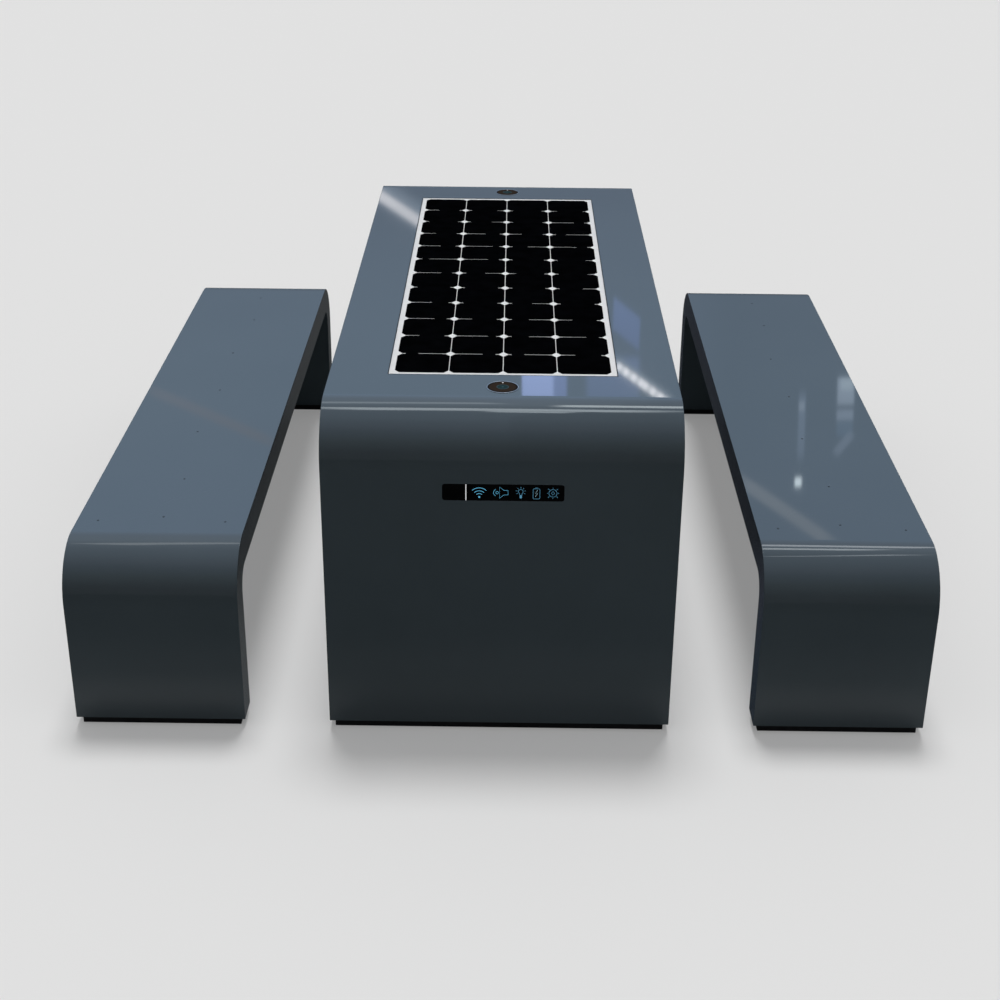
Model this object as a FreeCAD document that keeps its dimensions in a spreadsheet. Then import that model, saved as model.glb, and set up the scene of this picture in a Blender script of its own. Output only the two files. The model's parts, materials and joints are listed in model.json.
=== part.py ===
import FreeCAD, Part
import Sketcher
import math
import os

# A solar charging picnic table and its two free-standing benches, in bent and welded sheet steel.
# Millimetres. X runs across the set, Y along it and Z up. The origin is on the ground, at the middle
# of the set, and the leg with the indicator strip stands at the -Y end.
# Each piece is a body of the document. Its sketches, pads and placements read the sheet "dim".

document = FreeCAD.newDocument("solar_charging_table")
sheet = document.addObject("Spreadsheet::Sheet", "dim")

driving_sizes = {
    # sheet metal shared by the table and the benches
    "skin": 3,
    "bend_radius": 130,
    "foot_height": 22,
    "foot_inset": 12,
    "foot_wall": 15,
    "base_thickness": 8,
    "anchor_edge": 100,
    "anchor_radius": 5.5,
    # table
    "table_width": 800,
    "table_height": 800,
    "table_inner_bend": 30,
    "end_land": 125,
    # benches
    "bench_length": 2050,
    "bench_width": 400,
    "bench_height": 450,
    "bench_slab": 77,
    "bench_inner_bend": 53,
    "bench_gap": 200,
    "seat_rib_width": 60,
    "seat_rib_wall": 2,
    "cross_rib_end": 186,
    "cross_rib_depth": 24,
    # solar panel
    "cell_size": 124,
    "cell_corner": 10.5,
    "cell_columns": 4,
    "cell_rows": 12,
    "column_gap": 1.6,
    "row_gap": 2.7,
    "panel_side_margin": 12.6,
    "panel_end_margin": 9.15,
    "glass_thickness": 3.2,
    "cell_thickness": 0.4,
    "backsheet_thickness": 1.4,
    "gasket_width": 2,
    "ledge_thickness": 3,
    "ledge_land": 12,
    "ledge_lap": 15,
    "rib_count": 4,
    "rib_pitch": 300,
    "rib_thickness": 3,
    "rib_flange": 25,
    "junction_box_width": 110,
    "junction_box_length": 80,
    "junction_box_depth": 18,
    # wireless charging pads
    "charger_bend_offset": 50,
    "charger_ring_radius": 37.5,
    "charger_ring_height": 1.2,
    "charger_disc_radius": 34,
    "charger_disc_thickness": 1,
    "charger_ring_bevel": 1,
    "charger_body_radius": 31,
    "charger_body_depth": 24,
    "charger_clearance": 0.2,
    "charger_nut_radius": 40,
    "charger_nut_thickness": 7,
    # indicator strip in the front leg
    "display_width": 270,
    "display_height": 40,
    "display_corner": 6,
    "display_drop": 178.5,
    "display_offset": 4.5,
    "display_clearance": 0.2,
    "display_rebate": 5,
    "display_housing_lap": 9,
    "display_housing_depth": 20,
    "display_housing_wall": 2,
    "display_board_thickness": 1.6,
    # battery and equipment in the front leg
    "battery_width": 290,
    "battery_depth": 76,
    "battery_height": 230,
    "battery_clearance": 9,
    "battery_offset": -115,
    "battery_bottom": 100,
    "shelf_thickness": 3,
    "shelf_upstand": 40,
    "strap_thickness": 2,
    "strap_height": 25,
    "strap_foot": 20,
    "plate_thickness": 2,
    "plate_standoff": 10,
    "plate_width": 210,
    "plate_height": 240,
    "plate_gap": 3,
    "plate_margin": 12,
    "controller_width": 160,
    "controller_height": 90,
    "controller_body": 22,
    "controller_fin": 16,
    "controller_fin_thickness": 3,
    "controller_fin_pitch": 11,
    "router_width": 100,
    "router_height": 86,
    "router_depth": 28,
    "amplifier_width": 72,
    "amplifier_height": 56,
    "amplifier_depth": 26,
    "fuse_block_height": 26,
    "fuse_block_depth": 30,
    # speaker above the service door
    "speaker_drop": 110,
    "speaker_radius": 50,
    "speaker_flange_thickness": 3,
    "speaker_rim": 8,
    "speaker_basket": 20,
    "speaker_magnet_radius": 27,
    "speaker_depth": 46,
    "speaker_hole_radius": 45,
    "grille_width": 110,
    "grille_thickness": 2,
    "grille_slot_count": 7,
    "grille_slot_pitch": 11,
    "grille_slot_width": 5,
    "grille_slot_length": 76,
    # lamp under the table top
    "lamp_length": 1200,
    "lamp_width": 24,
    "lamp_depth": 10,
    "lamp_wall": 2,
    # service door on the inner face of the front leg
    "door_side_margin": 120,
    "door_height": 300,
    "door_bottom": 80,
    "door_corner": 6,
    "door_gap": 2,
    "door_plate": 2,
    "door_rim_inset": 3,
    "door_rim_wall": 2,
    "frame_land": 12,
    "frame_lap": 15,
    "frame_plate": 3,
    "seal_recess": 3,
    "seal_width": 8,
    "seal_clearance": 0.3,
    "hinge_inset": 60,
    "hinge_height": 60,
    "hinge_leaf": 22,
    "hinge_leaf_thickness": 2,
    "hinge_barrel_radius": 5,
    "hinge_pin_radius": 2.5,
    "hinge_pin_clearance": 0.05,
    "hinge_lift": 0.5,
    "knuckle_gap": 0.3,
    "lock_edge": 40,
    "lock_radius": 9.5,
    "lock_flange_radius": 12.5,
    "lock_flange_thickness": 2,
    "lock_core_radius": 6,
    "lock_core_clearance": 0.05,
    "lock_neck_radius": 4,
    "lock_core_proud": 0.6,
    "lock_keyway_width": 1.6,
    "lock_keyway_length": 7,
    "lock_keyway_depth": 5,
    "cam_gap": 0.7,
    "cam_thickness": 2.5,
    "cam_width": 16,
    "cam_length": 38,
    "cam_nut_thickness": 3,
}

for row, (alias, size) in enumerate(driving_sizes.items(), start=1):
    sheet.set(f"A{row}", alias)
    sheet.set(f"B{row}", str(size))
    sheet.setAlias(f"B{row}", alias)
document.recompute()

# ---- sizes worked out from the driving ones, as expressions ----

grid_width = "(dim.cell_columns * (dim.cell_size + dim.column_gap) - dim.column_gap)"
grid_length = "(dim.cell_rows * (dim.cell_size + dim.row_gap) - dim.row_gap)"
panel_width = f"({grid_width} + 2 * dim.panel_side_margin)"
panel_length = f"({grid_length} + 2 * dim.panel_end_margin)"
opening_width = f"({panel_width} + 2 * dim.gasket_width)"
opening_length = f"({panel_length} + 2 * dim.gasket_width)"

table_half_width = "(dim.table_width / 2)"
table_half_length = f"({opening_length} / 2 + dim.end_land + dim.bend_radius)"
table_slab = "(dim.battery_depth + 2 * dim.battery_clearance + 2 * dim.skin)"
table_underside = f"(dim.table_height - {table_slab})"

bench_half_width = "(dim.bench_width / 2)"
bench_half_length = "(dim.bench_length / 2)"
bench_offset = "(dim.table_width / 2 + dim.bench_gap + dim.bench_width / 2)"

panel_underside = "(dim.table_height - dim.glass_thickness - dim.cell_thickness - dim.backsheet_thickness)"
charger_place = f"({table_half_length} - dim.bend_radius - dim.charger_bend_offset)"

outer_face = f"(-{table_half_length})"                      # front of the front leg
bay_front = f"({outer_face} + dim.skin)"                    # inside of the front skin
bay_back = f"({outer_face} + {table_slab} - dim.skin)"      # inside of the lining
inner_face = f"({outer_face} + {table_slab})"               # face towards the knees

display_height_place = "(dim.table_height - dim.display_drop)"
speaker_height_place = f"({table_underside} - dim.speaker_drop)"

door_width = "(dim.table_width - 2 * dim.door_side_margin)"
door_middle = "(dim.door_bottom + dim.door_height / 2)"
hinge_x = f"(-{door_width} / 2 + dim.door_gap / 2)"
hinge_y = f"({inner_face} + dim.hinge_barrel_radius + dim.hinge_lift)"
lock_x = f"({door_width} / 2 - dim.door_gap - dim.lock_edge)"


# ---- small helpers for bodies, sketches and features ----

def value(expression):
    return float(sheet.evalExpression(str(expression)))


def new_body(label):
    body = document.addObject("PartDesign::Body", label)
    body.Label = label
    body.AllowCompound = True
    return body


def origin_feature(body, role):
    return next(item for item in body.Origin.OriginFeatures if item.Role == role)


def new_sketch(body, plane, offset):
    sketch = body.newObject("Sketcher::SketchObject", f"{body.Label}_sketch")
    sketch.AttachmentSupport = (origin_feature(body, plane), "")
    sketch.MapMode = "FlatFace"
    sketch.setExpression("AttachmentOffset.Base.z", offset)
    return sketch


def bind(sketch, constraint, expression):
    index = sketch.addConstraint(constraint)
    sketch.setExpression(f"Constraints[{index}]", str(expression))


def hold_point(sketch, geometry, position, x, y):
    bind(sketch, Sketcher.Constraint("DistanceX", -1, 1, geometry, position, value(x)), x)
    bind(sketch, Sketcher.Constraint("DistanceY", -1, 1, geometry, position, value(y)), y)


# A closed outline through corners (x, y, radius), where radius is None at a sharp corner.
def draw_outline(sketch, corners):
    count = len(corners)
    points = [FreeCAD.Vector(value(x), value(y), 0) for x, y, radius in corners]
    starts = list(points)
    ends = list(points)
    middles = [None] * count
    for i, (x, y, radius) in enumerate(corners):
        if radius is None:
            continue
        back = (points[i - 1] - points[i]).normalize()
        onward = (points[(i + 1) % count] - points[i]).normalize()
        half_angle = back.getAngle(onward) / 2
        setback = value(radius) / math.tan(half_angle)
        centre = points[i] + (back + onward).normalize() * (value(radius) / math.sin(half_angle))
        ends[i] = points[i] + back * setback
        starts[i] = points[i] + onward * setback
        middles[i] = centre + (points[i] - centre).normalize() * value(radius)
    lines = []
    for i in range(count):
        line = Part.LineSegment(starts[i], ends[(i + 1) % count])
        lines.append(sketch.addGeometry(line))
    for i, (x, y, radius) in enumerate(corners):
        before = lines[i - 1]
        after = lines[i]
        if radius is None:
            sketch.addConstraint(Sketcher.Constraint("Coincident", before, 2, after, 1))
            hold_point(sketch, after, 1, x, y)
            continue
        arc = sketch.addGeometry(Part.ArcOfCircle(ends[i], middles[i], starts[i]))
        first, last = (1, 2) if (sketch.getPoint(arc, 1) - ends[i]).Length < 1e-6 else (2, 1)
        sketch.addConstraint(Sketcher.Constraint("Tangent", before, 2, arc, first))
        sketch.addConstraint(Sketcher.Constraint("Tangent", arc, last, after, 1))
        bind(sketch, Sketcher.Constraint("Radius", arc, value(radius)), radius)
        corner = sketch.addGeometry(Part.Point(points[i]), True)
        sketch.addConstraint(Sketcher.Constraint("PointOnObject", corner, 1, before))
        sketch.addConstraint(Sketcher.Constraint("PointOnObject", corner, 1, after))
        hold_point(sketch, corner, 1, x, y)


def draw_circle(sketch, x, y, radius):
    centre = FreeCAD.Vector(value(x), value(y), 0)
    circle = sketch.addGeometry(Part.Circle(centre, FreeCAD.Vector(0, 0, 1), value(radius)))
    bind(sketch, Sketcher.Constraint("Radius", circle, value(radius)), radius)
    hold_point(sketch, circle, 3, x, y)


# A shape is ("outline", corners) or ("circle", x, y, radius).
def draw(sketch, shapes):
    for kind, *details in shapes:
        if kind == "circle":
            draw_circle(sketch, *details)
        else:
            draw_outline(sketch, *details)


def outline(*corners):
    return "outline", [(*corner, None) if len(corner) == 2 else corner for corner in corners]


def circle(x, y, radius):
    return "circle", x, y, radius


def box(left, right, bottom, top, corner=None):
    return outline(
        (left, bottom, corner), (right, bottom, corner), (right, top, corner), (left, top, corner)
    )


def centred_box(width, height, x="0", y="0", corner=None):
    return box(
        f"({x}) - ({width}) / 2", f"({x}) + ({width}) / 2",
        f"({y}) - ({height}) / 2", f"({y}) + ({height}) / 2", corner,
    )


# Material between two levels along the plane's own axis. The XZ plane faces -Y.
def pad(body, plane, low, high, *shapes):
    sketch = new_sketch(body, plane, f"-({high})" if plane == "XZ_Plane" else low)
    draw(sketch, shapes)
    feature = body.newObject("PartDesign::Pad", f"{body.Label}_pad")
    feature.Profile = sketch
    feature.setExpression("Length", f"({high}) - ({low})")
    return feature


def cut(body, plane, low, high, *shapes):
    sketch = new_sketch(body, plane, f"-({low})" if plane == "XZ_Plane" else high)
    draw(sketch, shapes)
    feature = body.newObject("PartDesign::Pocket", f"{body.Label}_cut")
    feature.Profile = sketch
    feature.setExpression("Length", f"({high}) - ({low})")
    return feature


# A turned piece: corners are (radius, distance along the axis).
def turn(body, plane, axis, *corners):
    sketch = new_sketch(body, plane, "0")
    draw(sketch, [outline(*corners)])
    feature = body.newObject("PartDesign::Revolution", f"{body.Label}_turn")
    feature.Profile = sketch
    feature.ReferenceAxis = (origin_feature(body, axis), [""])
    return feature


def line_of(body, axis, count, pitch):
    pattern = body.newObject("PartDesign::LinearPattern", f"{body.Label}_pattern")
    pattern.Direction = (origin_feature(body, axis), [""])
    pattern.Mode = "Spacing"
    pattern.setExpression("Offset", pitch)
    pattern.setExpression("Occurrences", count)
    return pattern


def repeat(body, features, axis, count, pitch):
    document.recompute()
    pattern = line_of(body, axis, count, pitch)
    pattern.Originals = features
    body.Tip = pattern


def place(body, **shifts):
    for axis, expression in shifts.items():
        body.setExpression(f"Placement.Base.{axis}", expression)


def door_outline(margin, corner=None):
    return centred_box(
        f"{door_width} + 2 * ({margin})", f"dim.door_height + 2 * ({margin})",
        "0", door_middle, corner,
    )


# ---- bent sheets: an arch is (half length, top, bend radius), and stands on the feet ----

def arch_band(outer, inner):
    outer_half, outer_top, outer_bend = outer
    inner_half, inner_top, inner_bend = inner
    ground = "dim.foot_height"
    return outline(
        (f"-{outer_half}", ground), (f"-{outer_half}", outer_top, outer_bend),
        (outer_half, outer_top, outer_bend), (outer_half, ground),
        (inner_half, ground), (inner_half, inner_top, inner_bend),
        (f"-{inner_half}", inner_top, inner_bend), (f"-{inner_half}", ground),
    )


# The four arches of a hollow slab: both faces of its shell and both faces of its lining.
def slab_arches(half_length, height, slab, inner_bend):
    return (
        (half_length, height, "dim.bend_radius"),
        (f"({half_length} - dim.skin)", f"({height} - dim.skin)", "(dim.bend_radius - dim.skin)"),
        (f"({half_length} - {slab} + dim.skin)", f"({height} - {slab} + dim.skin)",
         f"({inner_bend} + dim.skin)"),
        (f"({half_length} - {slab})", f"({height} - {slab})", inner_bend),
    )


table_arches = slab_arches(table_half_length, "dim.table_height", table_slab, "dim.table_inner_bend")
bench_arches = slab_arches(
    bench_half_length, "dim.bench_height", "dim.bench_slab", "dim.bench_inner_bend"
)


def side_plates(label, arches, half_width):
    body = new_body(label)
    pad(body, "YZ_Plane", f"-{half_width}", f"-{half_width} + dim.skin", arch_band(arches[1], arches[2]))
    pad(body, "YZ_Plane", f"{half_width} - dim.skin", half_width, arch_band(arches[1], arches[2]))
    return body


# ---- legs' closing plates with their anchor holes, and the feet they stand on ----

def leg_middles(half_length, slab):
    return [f"({side}({half_length} - {slab} / 2))" for side in ("-", "")]


def leg_box(half_width, slab, inset, middle):
    return centred_box(f"2 * ({half_width} - ({inset}))", f"{slab} - 2 * ({inset})", "0", middle)


def base_plates(label, half_length, half_width, slab):
    body = new_body(label)
    anchor_x = f"({half_width} - dim.anchor_edge)"
    for middle in leg_middles(half_length, slab):
        pad(
            body, "XY_Plane", "dim.foot_height", "dim.foot_height + dim.base_thickness",
            leg_box(half_width, slab, "dim.skin", middle),
            circle(f"-{anchor_x}", middle, "dim.anchor_radius"),
            circle(anchor_x, middle, "dim.anchor_radius"),
        )
    return body


def feet(label, half_length, half_width, slab):
    body = new_body(label)
    for middle in leg_middles(half_length, slab):
        pad(
            body, "XY_Plane", "0", "dim.foot_height",
            leg_box(half_width, slab, "dim.foot_inset", middle),
            leg_box(half_width, slab, "dim.foot_inset + dim.foot_wall", middle),
        )
    return body


# ---- table: shell, lining, sides, ribs ----

def table_shell():
    body = new_body("table_shell")
    pad(body, "YZ_Plane", f"-{table_half_width}", table_half_width,
        arch_band(table_arches[0], table_arches[1]))
    hole = "(dim.charger_body_radius + dim.charger_clearance)"
    cut(
        body, "XY_Plane", "dim.table_height - dim.skin", "dim.table_height",
        centred_box(opening_width, opening_length),
        circle("0", f"-{charger_place}", hole),
        circle("0", charger_place, hole),
    )
    cut(
        body, "XZ_Plane", outer_face, bay_front,
        centred_box("dim.display_width", "dim.display_height", "dim.display_offset",
                    display_height_place, "dim.display_corner"),
    )
    return body


def table_lining():
    body = new_body("table_lining")
    pad(body, "YZ_Plane", f"-{table_half_width}", table_half_width,
        arch_band(table_arches[2], table_arches[3]))
    cut(
        body, "XZ_Plane", bay_back, inner_face,
        door_outline("0", "dim.door_corner"),
        circle("0", speaker_height_place, "dim.speaker_hole_radius"),
    )
    return body


# Channels across the top carry the panel's back between the side plates.
def top_ribs():
    body = new_body("top_ribs")
    floor = f"{table_underside} + dim.skin"
    ledge_bottom = f"({panel_underside} - dim.ledge_thickness)"
    seat_half_width = f"({opening_width} / 2 - dim.ledge_land - dim.gasket_width)"
    span = f"({table_half_width} - dim.skin)"
    section = pad(
        body, "YZ_Plane", f"-{span}", span,
        outline(
            ("0", floor), ("dim.rib_flange", floor),
            ("dim.rib_flange", f"{floor} + dim.rib_thickness"),
            ("dim.rib_thickness", f"{floor} + dim.rib_thickness"),
            ("dim.rib_thickness", ledge_bottom), ("0", ledge_bottom),
        ),
    )
    seat = pad(
        body, "YZ_Plane", f"-{seat_half_width}", seat_half_width,
        box("0", "dim.rib_flange", ledge_bottom, panel_underside),
    )
    repeat(body, [section, seat], "Y_Axis", "dim.rib_count", "dim.rib_pitch")
    place(body, y="-(dim.rib_count - 1) / 2 * dim.rib_pitch - dim.rib_thickness / 2")
    return body


# ---- solar panel, flush in the table top ----

# The ledge is welded under the skin and steps down to the panel's underside.
def panel_ledge():
    body = new_body("panel_ledge")
    outer = (f"{opening_width} + 2 * dim.ledge_lap", f"{opening_length} + 2 * dim.ledge_lap")
    inner = (f"{opening_width} - 2 * dim.ledge_land", f"{opening_length} - 2 * dim.ledge_land")
    pad(body, "XY_Plane", f"{panel_underside} - dim.ledge_thickness", panel_underside,
        centred_box(*outer), centred_box(*inner))
    pad(body, "XY_Plane", panel_underside, "dim.table_height - dim.skin",
        centred_box(*outer), centred_box(opening_width, opening_length))
    return body


def panel_layer(label, low, high):
    body = new_body(label)
    pad(body, "XY_Plane", low, high, centred_box(panel_width, panel_length))
    return body


# Mono cells with clipped corners, one pad repeated along both directions.
def panel_cells():
    body = new_body("panel_cells")
    low = "dim.table_height - dim.glass_thickness - dim.cell_thickness"
    near, far, clip = "0", "dim.cell_size", "dim.cell_corner"
    cell = pad(
        body, "XY_Plane", low, "dim.table_height - dim.glass_thickness",
        outline(
            (clip, near), (f"{far} - {clip}", near), (far, clip), (far, f"{far} - {clip}"),
            (f"{far} - {clip}", far), (clip, far), (near, f"{far} - {clip}"), (near, clip),
        ),
    )
    document.recompute()
    grid = body.newObject("PartDesign::MultiTransform", "panel_cells_grid")
    grid.Originals = [cell]
    grid.Transformations = [
        line_of(body, "X_Axis", "dim.cell_columns", "dim.cell_size + dim.column_gap"),
        line_of(body, "Y_Axis", "dim.cell_rows", "dim.cell_size + dim.row_gap"),
    ]
    body.Tip = grid
    place(body, x=f"-{grid_width} / 2", y=f"-{grid_length} / 2")
    return body


def panel_gasket():
    body = new_body("panel_gasket")
    pad(body, "XY_Plane", panel_underside, "dim.table_height",
        centred_box(opening_width, opening_length), centred_box(panel_width, panel_length))
    return body


def panel_junction_box():
    body = new_body("panel_junction_box")
    pad(body, "XY_Plane", f"{panel_underside} - dim.junction_box_depth", panel_underside,
        centred_box("dim.junction_box_width", "dim.junction_box_length"))
    return body


# ---- wireless charging pads, one on each end of the top ----

def charger_pair(body, piece):
    repeat(body, [piece], "Y_Axis", "2", f"2 * {charger_place}")
    place(body, y=f"-{charger_place}")
    return body


def charger_bodies():
    body = new_body("charger_bodies")
    top = "dim.table_height"
    return charger_pair(body, pad(
        body, "XY_Plane", f"{top} - dim.charger_body_depth", top,
        circle("0", "0", "dim.charger_body_radius"),
    ))


def charger_discs():
    body = new_body("charger_discs")
    top = "dim.table_height"
    return charger_pair(body, pad(
        body, "XY_Plane", top, f"{top} + dim.charger_disc_thickness",
        circle("0", "0", "dim.charger_disc_radius"),
    ))


def charger_rings():
    body = new_body("charger_rings")
    inner = "dim.charger_disc_radius + dim.charger_clearance"
    top = "dim.table_height"
    ring_top = f"{top} + dim.charger_ring_height"
    return charger_pair(body, turn(
        body, "XZ_Plane", "Z_Axis",
        (inner, top), ("dim.charger_ring_radius", top),
        ("dim.charger_ring_radius - dim.charger_ring_bevel", ring_top), (inner, ring_top),
    ))


# Hexagon nuts on the threaded bodies clamp the pads to the skin from below.
def charger_nuts():
    body = new_body("charger_nuts")
    skin_bottom = "dim.table_height - dim.skin"
    corners = [(f"dim.charger_nut_radius * cos({60 * i})", f"dim.charger_nut_radius * sin({60 * i})")
               for i in range(6)]
    nut = pad(
        body, "XY_Plane", f"{skin_bottom} - dim.charger_nut_thickness", skin_bottom,
        outline(*corners), circle("0", "0", "dim.charger_body_radius + dim.charger_clearance"),
    )
    return charger_pair(body, nut)


# ---- indicator strip in the front leg ----

display_rim = "(dim.display_housing_depth - dim.display_housing_wall)"


def display_outline(margin, corner=None):
    return centred_box(
        f"dim.display_width + 2 * ({margin})", f"dim.display_height + 2 * ({margin})",
        "dim.display_offset", display_height_place, corner,
    )


def display_window():
    body = new_body("display_window")
    pad(body, "XZ_Plane", outer_face, bay_front,
        display_outline("-dim.display_clearance", "dim.display_corner - dim.display_clearance"))
    return body


def display_housing():
    body = new_body("display_housing")
    pad(body, "XZ_Plane", bay_front, f"{bay_front} + dim.display_housing_depth",
        display_outline("dim.display_housing_lap"))
    cut(body, "XZ_Plane", bay_front, f"{bay_front} + {display_rim}",
        display_outline("-dim.display_rebate"))
    return body


def display_board():
    body = new_body("display_board")
    back = f"{bay_front} + {display_rim}"
    pad(body, "XZ_Plane", f"{back} - dim.display_board_thickness", back,
        display_outline("-dim.display_rebate - dim.display_clearance"))
    return body


# ---- battery and its holders, in the foot of the front leg ----

battery_front = f"({bay_front} + dim.battery_clearance)"
battery_back = f"({battery_front} + dim.battery_depth)"


def battery():
    body = new_body("battery")
    middle = f"({battery_front} + dim.battery_depth / 2)"
    pad(
        body, "XY_Plane", "dim.battery_bottom", "dim.battery_bottom + dim.battery_height",
        centred_box("dim.battery_width", "dim.battery_depth", "dim.battery_offset", middle),
    )
    return body


def battery_shelf():
    body = new_body("battery_shelf")
    low = "(dim.battery_bottom - dim.shelf_thickness)"
    half = "dim.battery_width / 2"
    pad(
        body, "YZ_Plane", f"dim.battery_offset - {half}", f"dim.battery_offset + {half}",
        outline(
            (bay_front, low), (battery_back, low), (battery_back, "dim.battery_bottom"),
            (f"{bay_front} + dim.shelf_thickness", "dim.battery_bottom"),
            (f"{bay_front} + dim.shelf_thickness", f"{low} + dim.shelf_upstand"),
            (bay_front, f"{low} + dim.shelf_upstand"),
        ),
    )
    return body


# A strap passes round the battery and is fixed to the front skin by two feet.
def battery_strap():
    body = new_body("battery_strap")
    inner = "dim.battery_width / 2"
    outer = f"({inner} + dim.strap_thickness)"
    foot = f"({outer} + dim.strap_foot)"
    wall = f"({bay_front} + dim.strap_thickness)"
    front = f"({battery_back} + dim.strap_thickness)"
    middle = "(dim.battery_bottom + dim.battery_height / 2)"
    pad(
        body, "XY_Plane", f"{middle} - dim.strap_height / 2", f"{middle} + dim.strap_height / 2",
        outline(
            (f"-{foot}", bay_front), (f"-{inner}", bay_front), (f"-{inner}", battery_back),
            (inner, battery_back), (inner, bay_front), (foot, bay_front), (foot, wall),
            (outer, wall), (outer, front), (f"-{outer}", front), (f"-{outer}", wall),
            (f"-{foot}", wall),
        ),
    )
    place(body, x="dim.battery_offset")
    return body


# ---- equipment plate and what it carries ----

plate_back = f"({bay_front} + dim.plate_standoff)"
plate_face = f"({plate_back} + dim.plate_thickness)"
strap_end = "(dim.battery_offset + dim.battery_width / 2 + dim.strap_thickness + dim.strap_foot)"
plate_left = f"({strap_end} + dim.plate_gap)"
plate_right = f"({plate_left} + dim.plate_width)"
plate_top = "(dim.battery_bottom + dim.plate_height)"


# A tray of folded sheet: its two side flanges reach back to the front skin.
def equipment_plate():
    body = new_body("equipment_plate")
    wall = "dim.plate_thickness"
    pad(
        body, "XY_Plane", "dim.battery_bottom", plate_top,
        outline(
            (plate_left, bay_front), (f"{plate_left} + {wall}", bay_front),
            (f"{plate_left} + {wall}", plate_back), (f"{plate_right} - {wall}", plate_back),
            (f"{plate_right} - {wall}", bay_front), (plate_right, bay_front),
            (plate_right, plate_face), (plate_left, plate_face),
        ),
    )
    return body


# The controller's cover is an extruded heat sink with fins standing off it.
def charge_controller():
    body = new_body("charge_controller")
    left = f"({plate_left} + dim.plate_margin)"
    right = f"({left} + dim.controller_width)"
    high = f"({plate_top} - dim.plate_margin)"
    low = f"({high} - dim.controller_height)"
    cover = f"({plate_face} + dim.controller_body)"
    pad(body, "XZ_Plane", plate_face, cover, box(left, right, low, high))
    document.recompute()
    fin = pad(
        body, "XZ_Plane", cover, f"{cover} + dim.controller_fin",
        box(f"{left} + dim.controller_fin_thickness", f"{left} + 2 * dim.controller_fin_thickness",
            f"{low} + dim.controller_fin_thickness", f"{high} - dim.controller_fin_thickness"),
    )
    count = "floor((dim.controller_width - 3 * dim.controller_fin_thickness) / dim.controller_fin_pitch) + 1"
    repeat(body, [fin], "X_Axis", count, "dim.controller_fin_pitch")
    return body


def wifi_router():
    body = new_body("wifi_router")
    left = f"({plate_left} + dim.plate_margin)"
    low = "(dim.battery_bottom + dim.plate_margin)"
    pad(body, "XZ_Plane", plate_face, f"{plate_face} + dim.router_depth",
        box(left, f"{left} + dim.router_width", low, f"{low} + dim.router_height"))
    return body


def audio_amplifier():
    body = new_body("audio_amplifier")
    right = f"({plate_right} - dim.plate_margin)"
    low = "(dim.battery_bottom + dim.plate_margin)"
    pad(body, "XZ_Plane", plate_face, f"{plate_face} + dim.amplifier_depth",
        box(f"{right} - dim.amplifier_width", right, low, f"{low} + dim.amplifier_height"))
    return body


def fuse_block():
    body = new_body("fuse_block")
    right = f"({plate_right} - dim.plate_margin)"
    high = "(dim.battery_bottom + dim.plate_margin + dim.router_height)"
    pad(body, "XZ_Plane", plate_face, f"{plate_face} + dim.fuse_block_depth",
        box(f"{right} - dim.amplifier_width", right, f"{high} - dim.fuse_block_height", high))
    return body


# ---- speaker behind a slotted grille, above the service door ----

# The speaker's square frame is clamped behind the lining, with its basket and magnet behind it.

def speaker():
    body = new_body("speaker")
    flange = "dim.speaker_flange_thickness"
    pad(body, "XZ_Plane", f"-{flange}", "0",
        centred_box("2 * dim.speaker_radius", "2 * dim.speaker_radius"))
    pad(body, "XZ_Plane", f"-{flange} - dim.speaker_basket", f"-{flange}",
        circle("0", "0", "dim.speaker_radius - dim.speaker_rim"))
    pad(body, "XZ_Plane", "-dim.speaker_depth", f"-{flange} - dim.speaker_basket",
        circle("0", "0", "dim.speaker_magnet_radius"))
    place(body, y=bay_back, z=speaker_height_place)
    return body


def speaker_grille():
    body = new_body("speaker_grille")
    pad(body, "XZ_Plane", "0", "dim.grille_thickness",
        centred_box("dim.grille_width", "dim.grille_width"))
    document.recompute()
    first = "-(dim.grille_slot_count - 1) / 2 * dim.grille_slot_pitch"
    slot = cut(body, "XZ_Plane", "0", "dim.grille_thickness",
               centred_box("dim.grille_slot_length", "dim.grille_slot_width", "0", first))
    repeat(body, [slot], "Z_Axis", "dim.grille_slot_count", "dim.grille_slot_pitch")
    place(body, y=inner_face, z=speaker_height_place)
    return body


# ---- lamp under the table top ----

def lamp_channel():
    body = new_body("lamp_channel")
    half = "dim.lamp_width / 2"
    low = f"({table_underside} - dim.lamp_depth)"
    web = f"({table_underside} - dim.lamp_wall)"
    pad(
        body, "XZ_Plane", "-dim.lamp_length / 2", "dim.lamp_length / 2",
        outline(
            (f"-{half}", low), (f"-{half} + dim.lamp_wall", low), (f"-{half} + dim.lamp_wall", web),
            (f"{half} - dim.lamp_wall", web), (f"{half} - dim.lamp_wall", low), (half, low),
            (half, table_underside), (f"-{half}", table_underside),
        ),
    )
    return body


def lamp_diffuser():
    body = new_body("lamp_diffuser")
    low = f"({table_underside} - dim.lamp_depth)"
    pad(body, "XY_Plane", low, f"{low} + dim.lamp_wall",
        centred_box("dim.lamp_width - 2 * dim.lamp_wall", "dim.lamp_length"))
    return body


# ---- service door, its frame, seal and hinges ----

door_front = f"({inner_face} - dim.door_plate)"             # back of the door's plate
seal_seat = f"({door_front} - dim.seal_recess)"             # face that the seal is glued to
frame_rear = f"({seal_seat} - dim.frame_plate)"


# The frame is welded behind the lining and steps back to a land for the seal.
def door_frame():
    body = new_body("door_frame")
    pad(body, "XZ_Plane", frame_rear, seal_seat,
        door_outline("dim.frame_lap"), door_outline("-dim.frame_land"))
    pad(body, "XZ_Plane", seal_seat, bay_back,
        door_outline("dim.frame_lap"), door_outline("0"))
    return body


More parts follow.
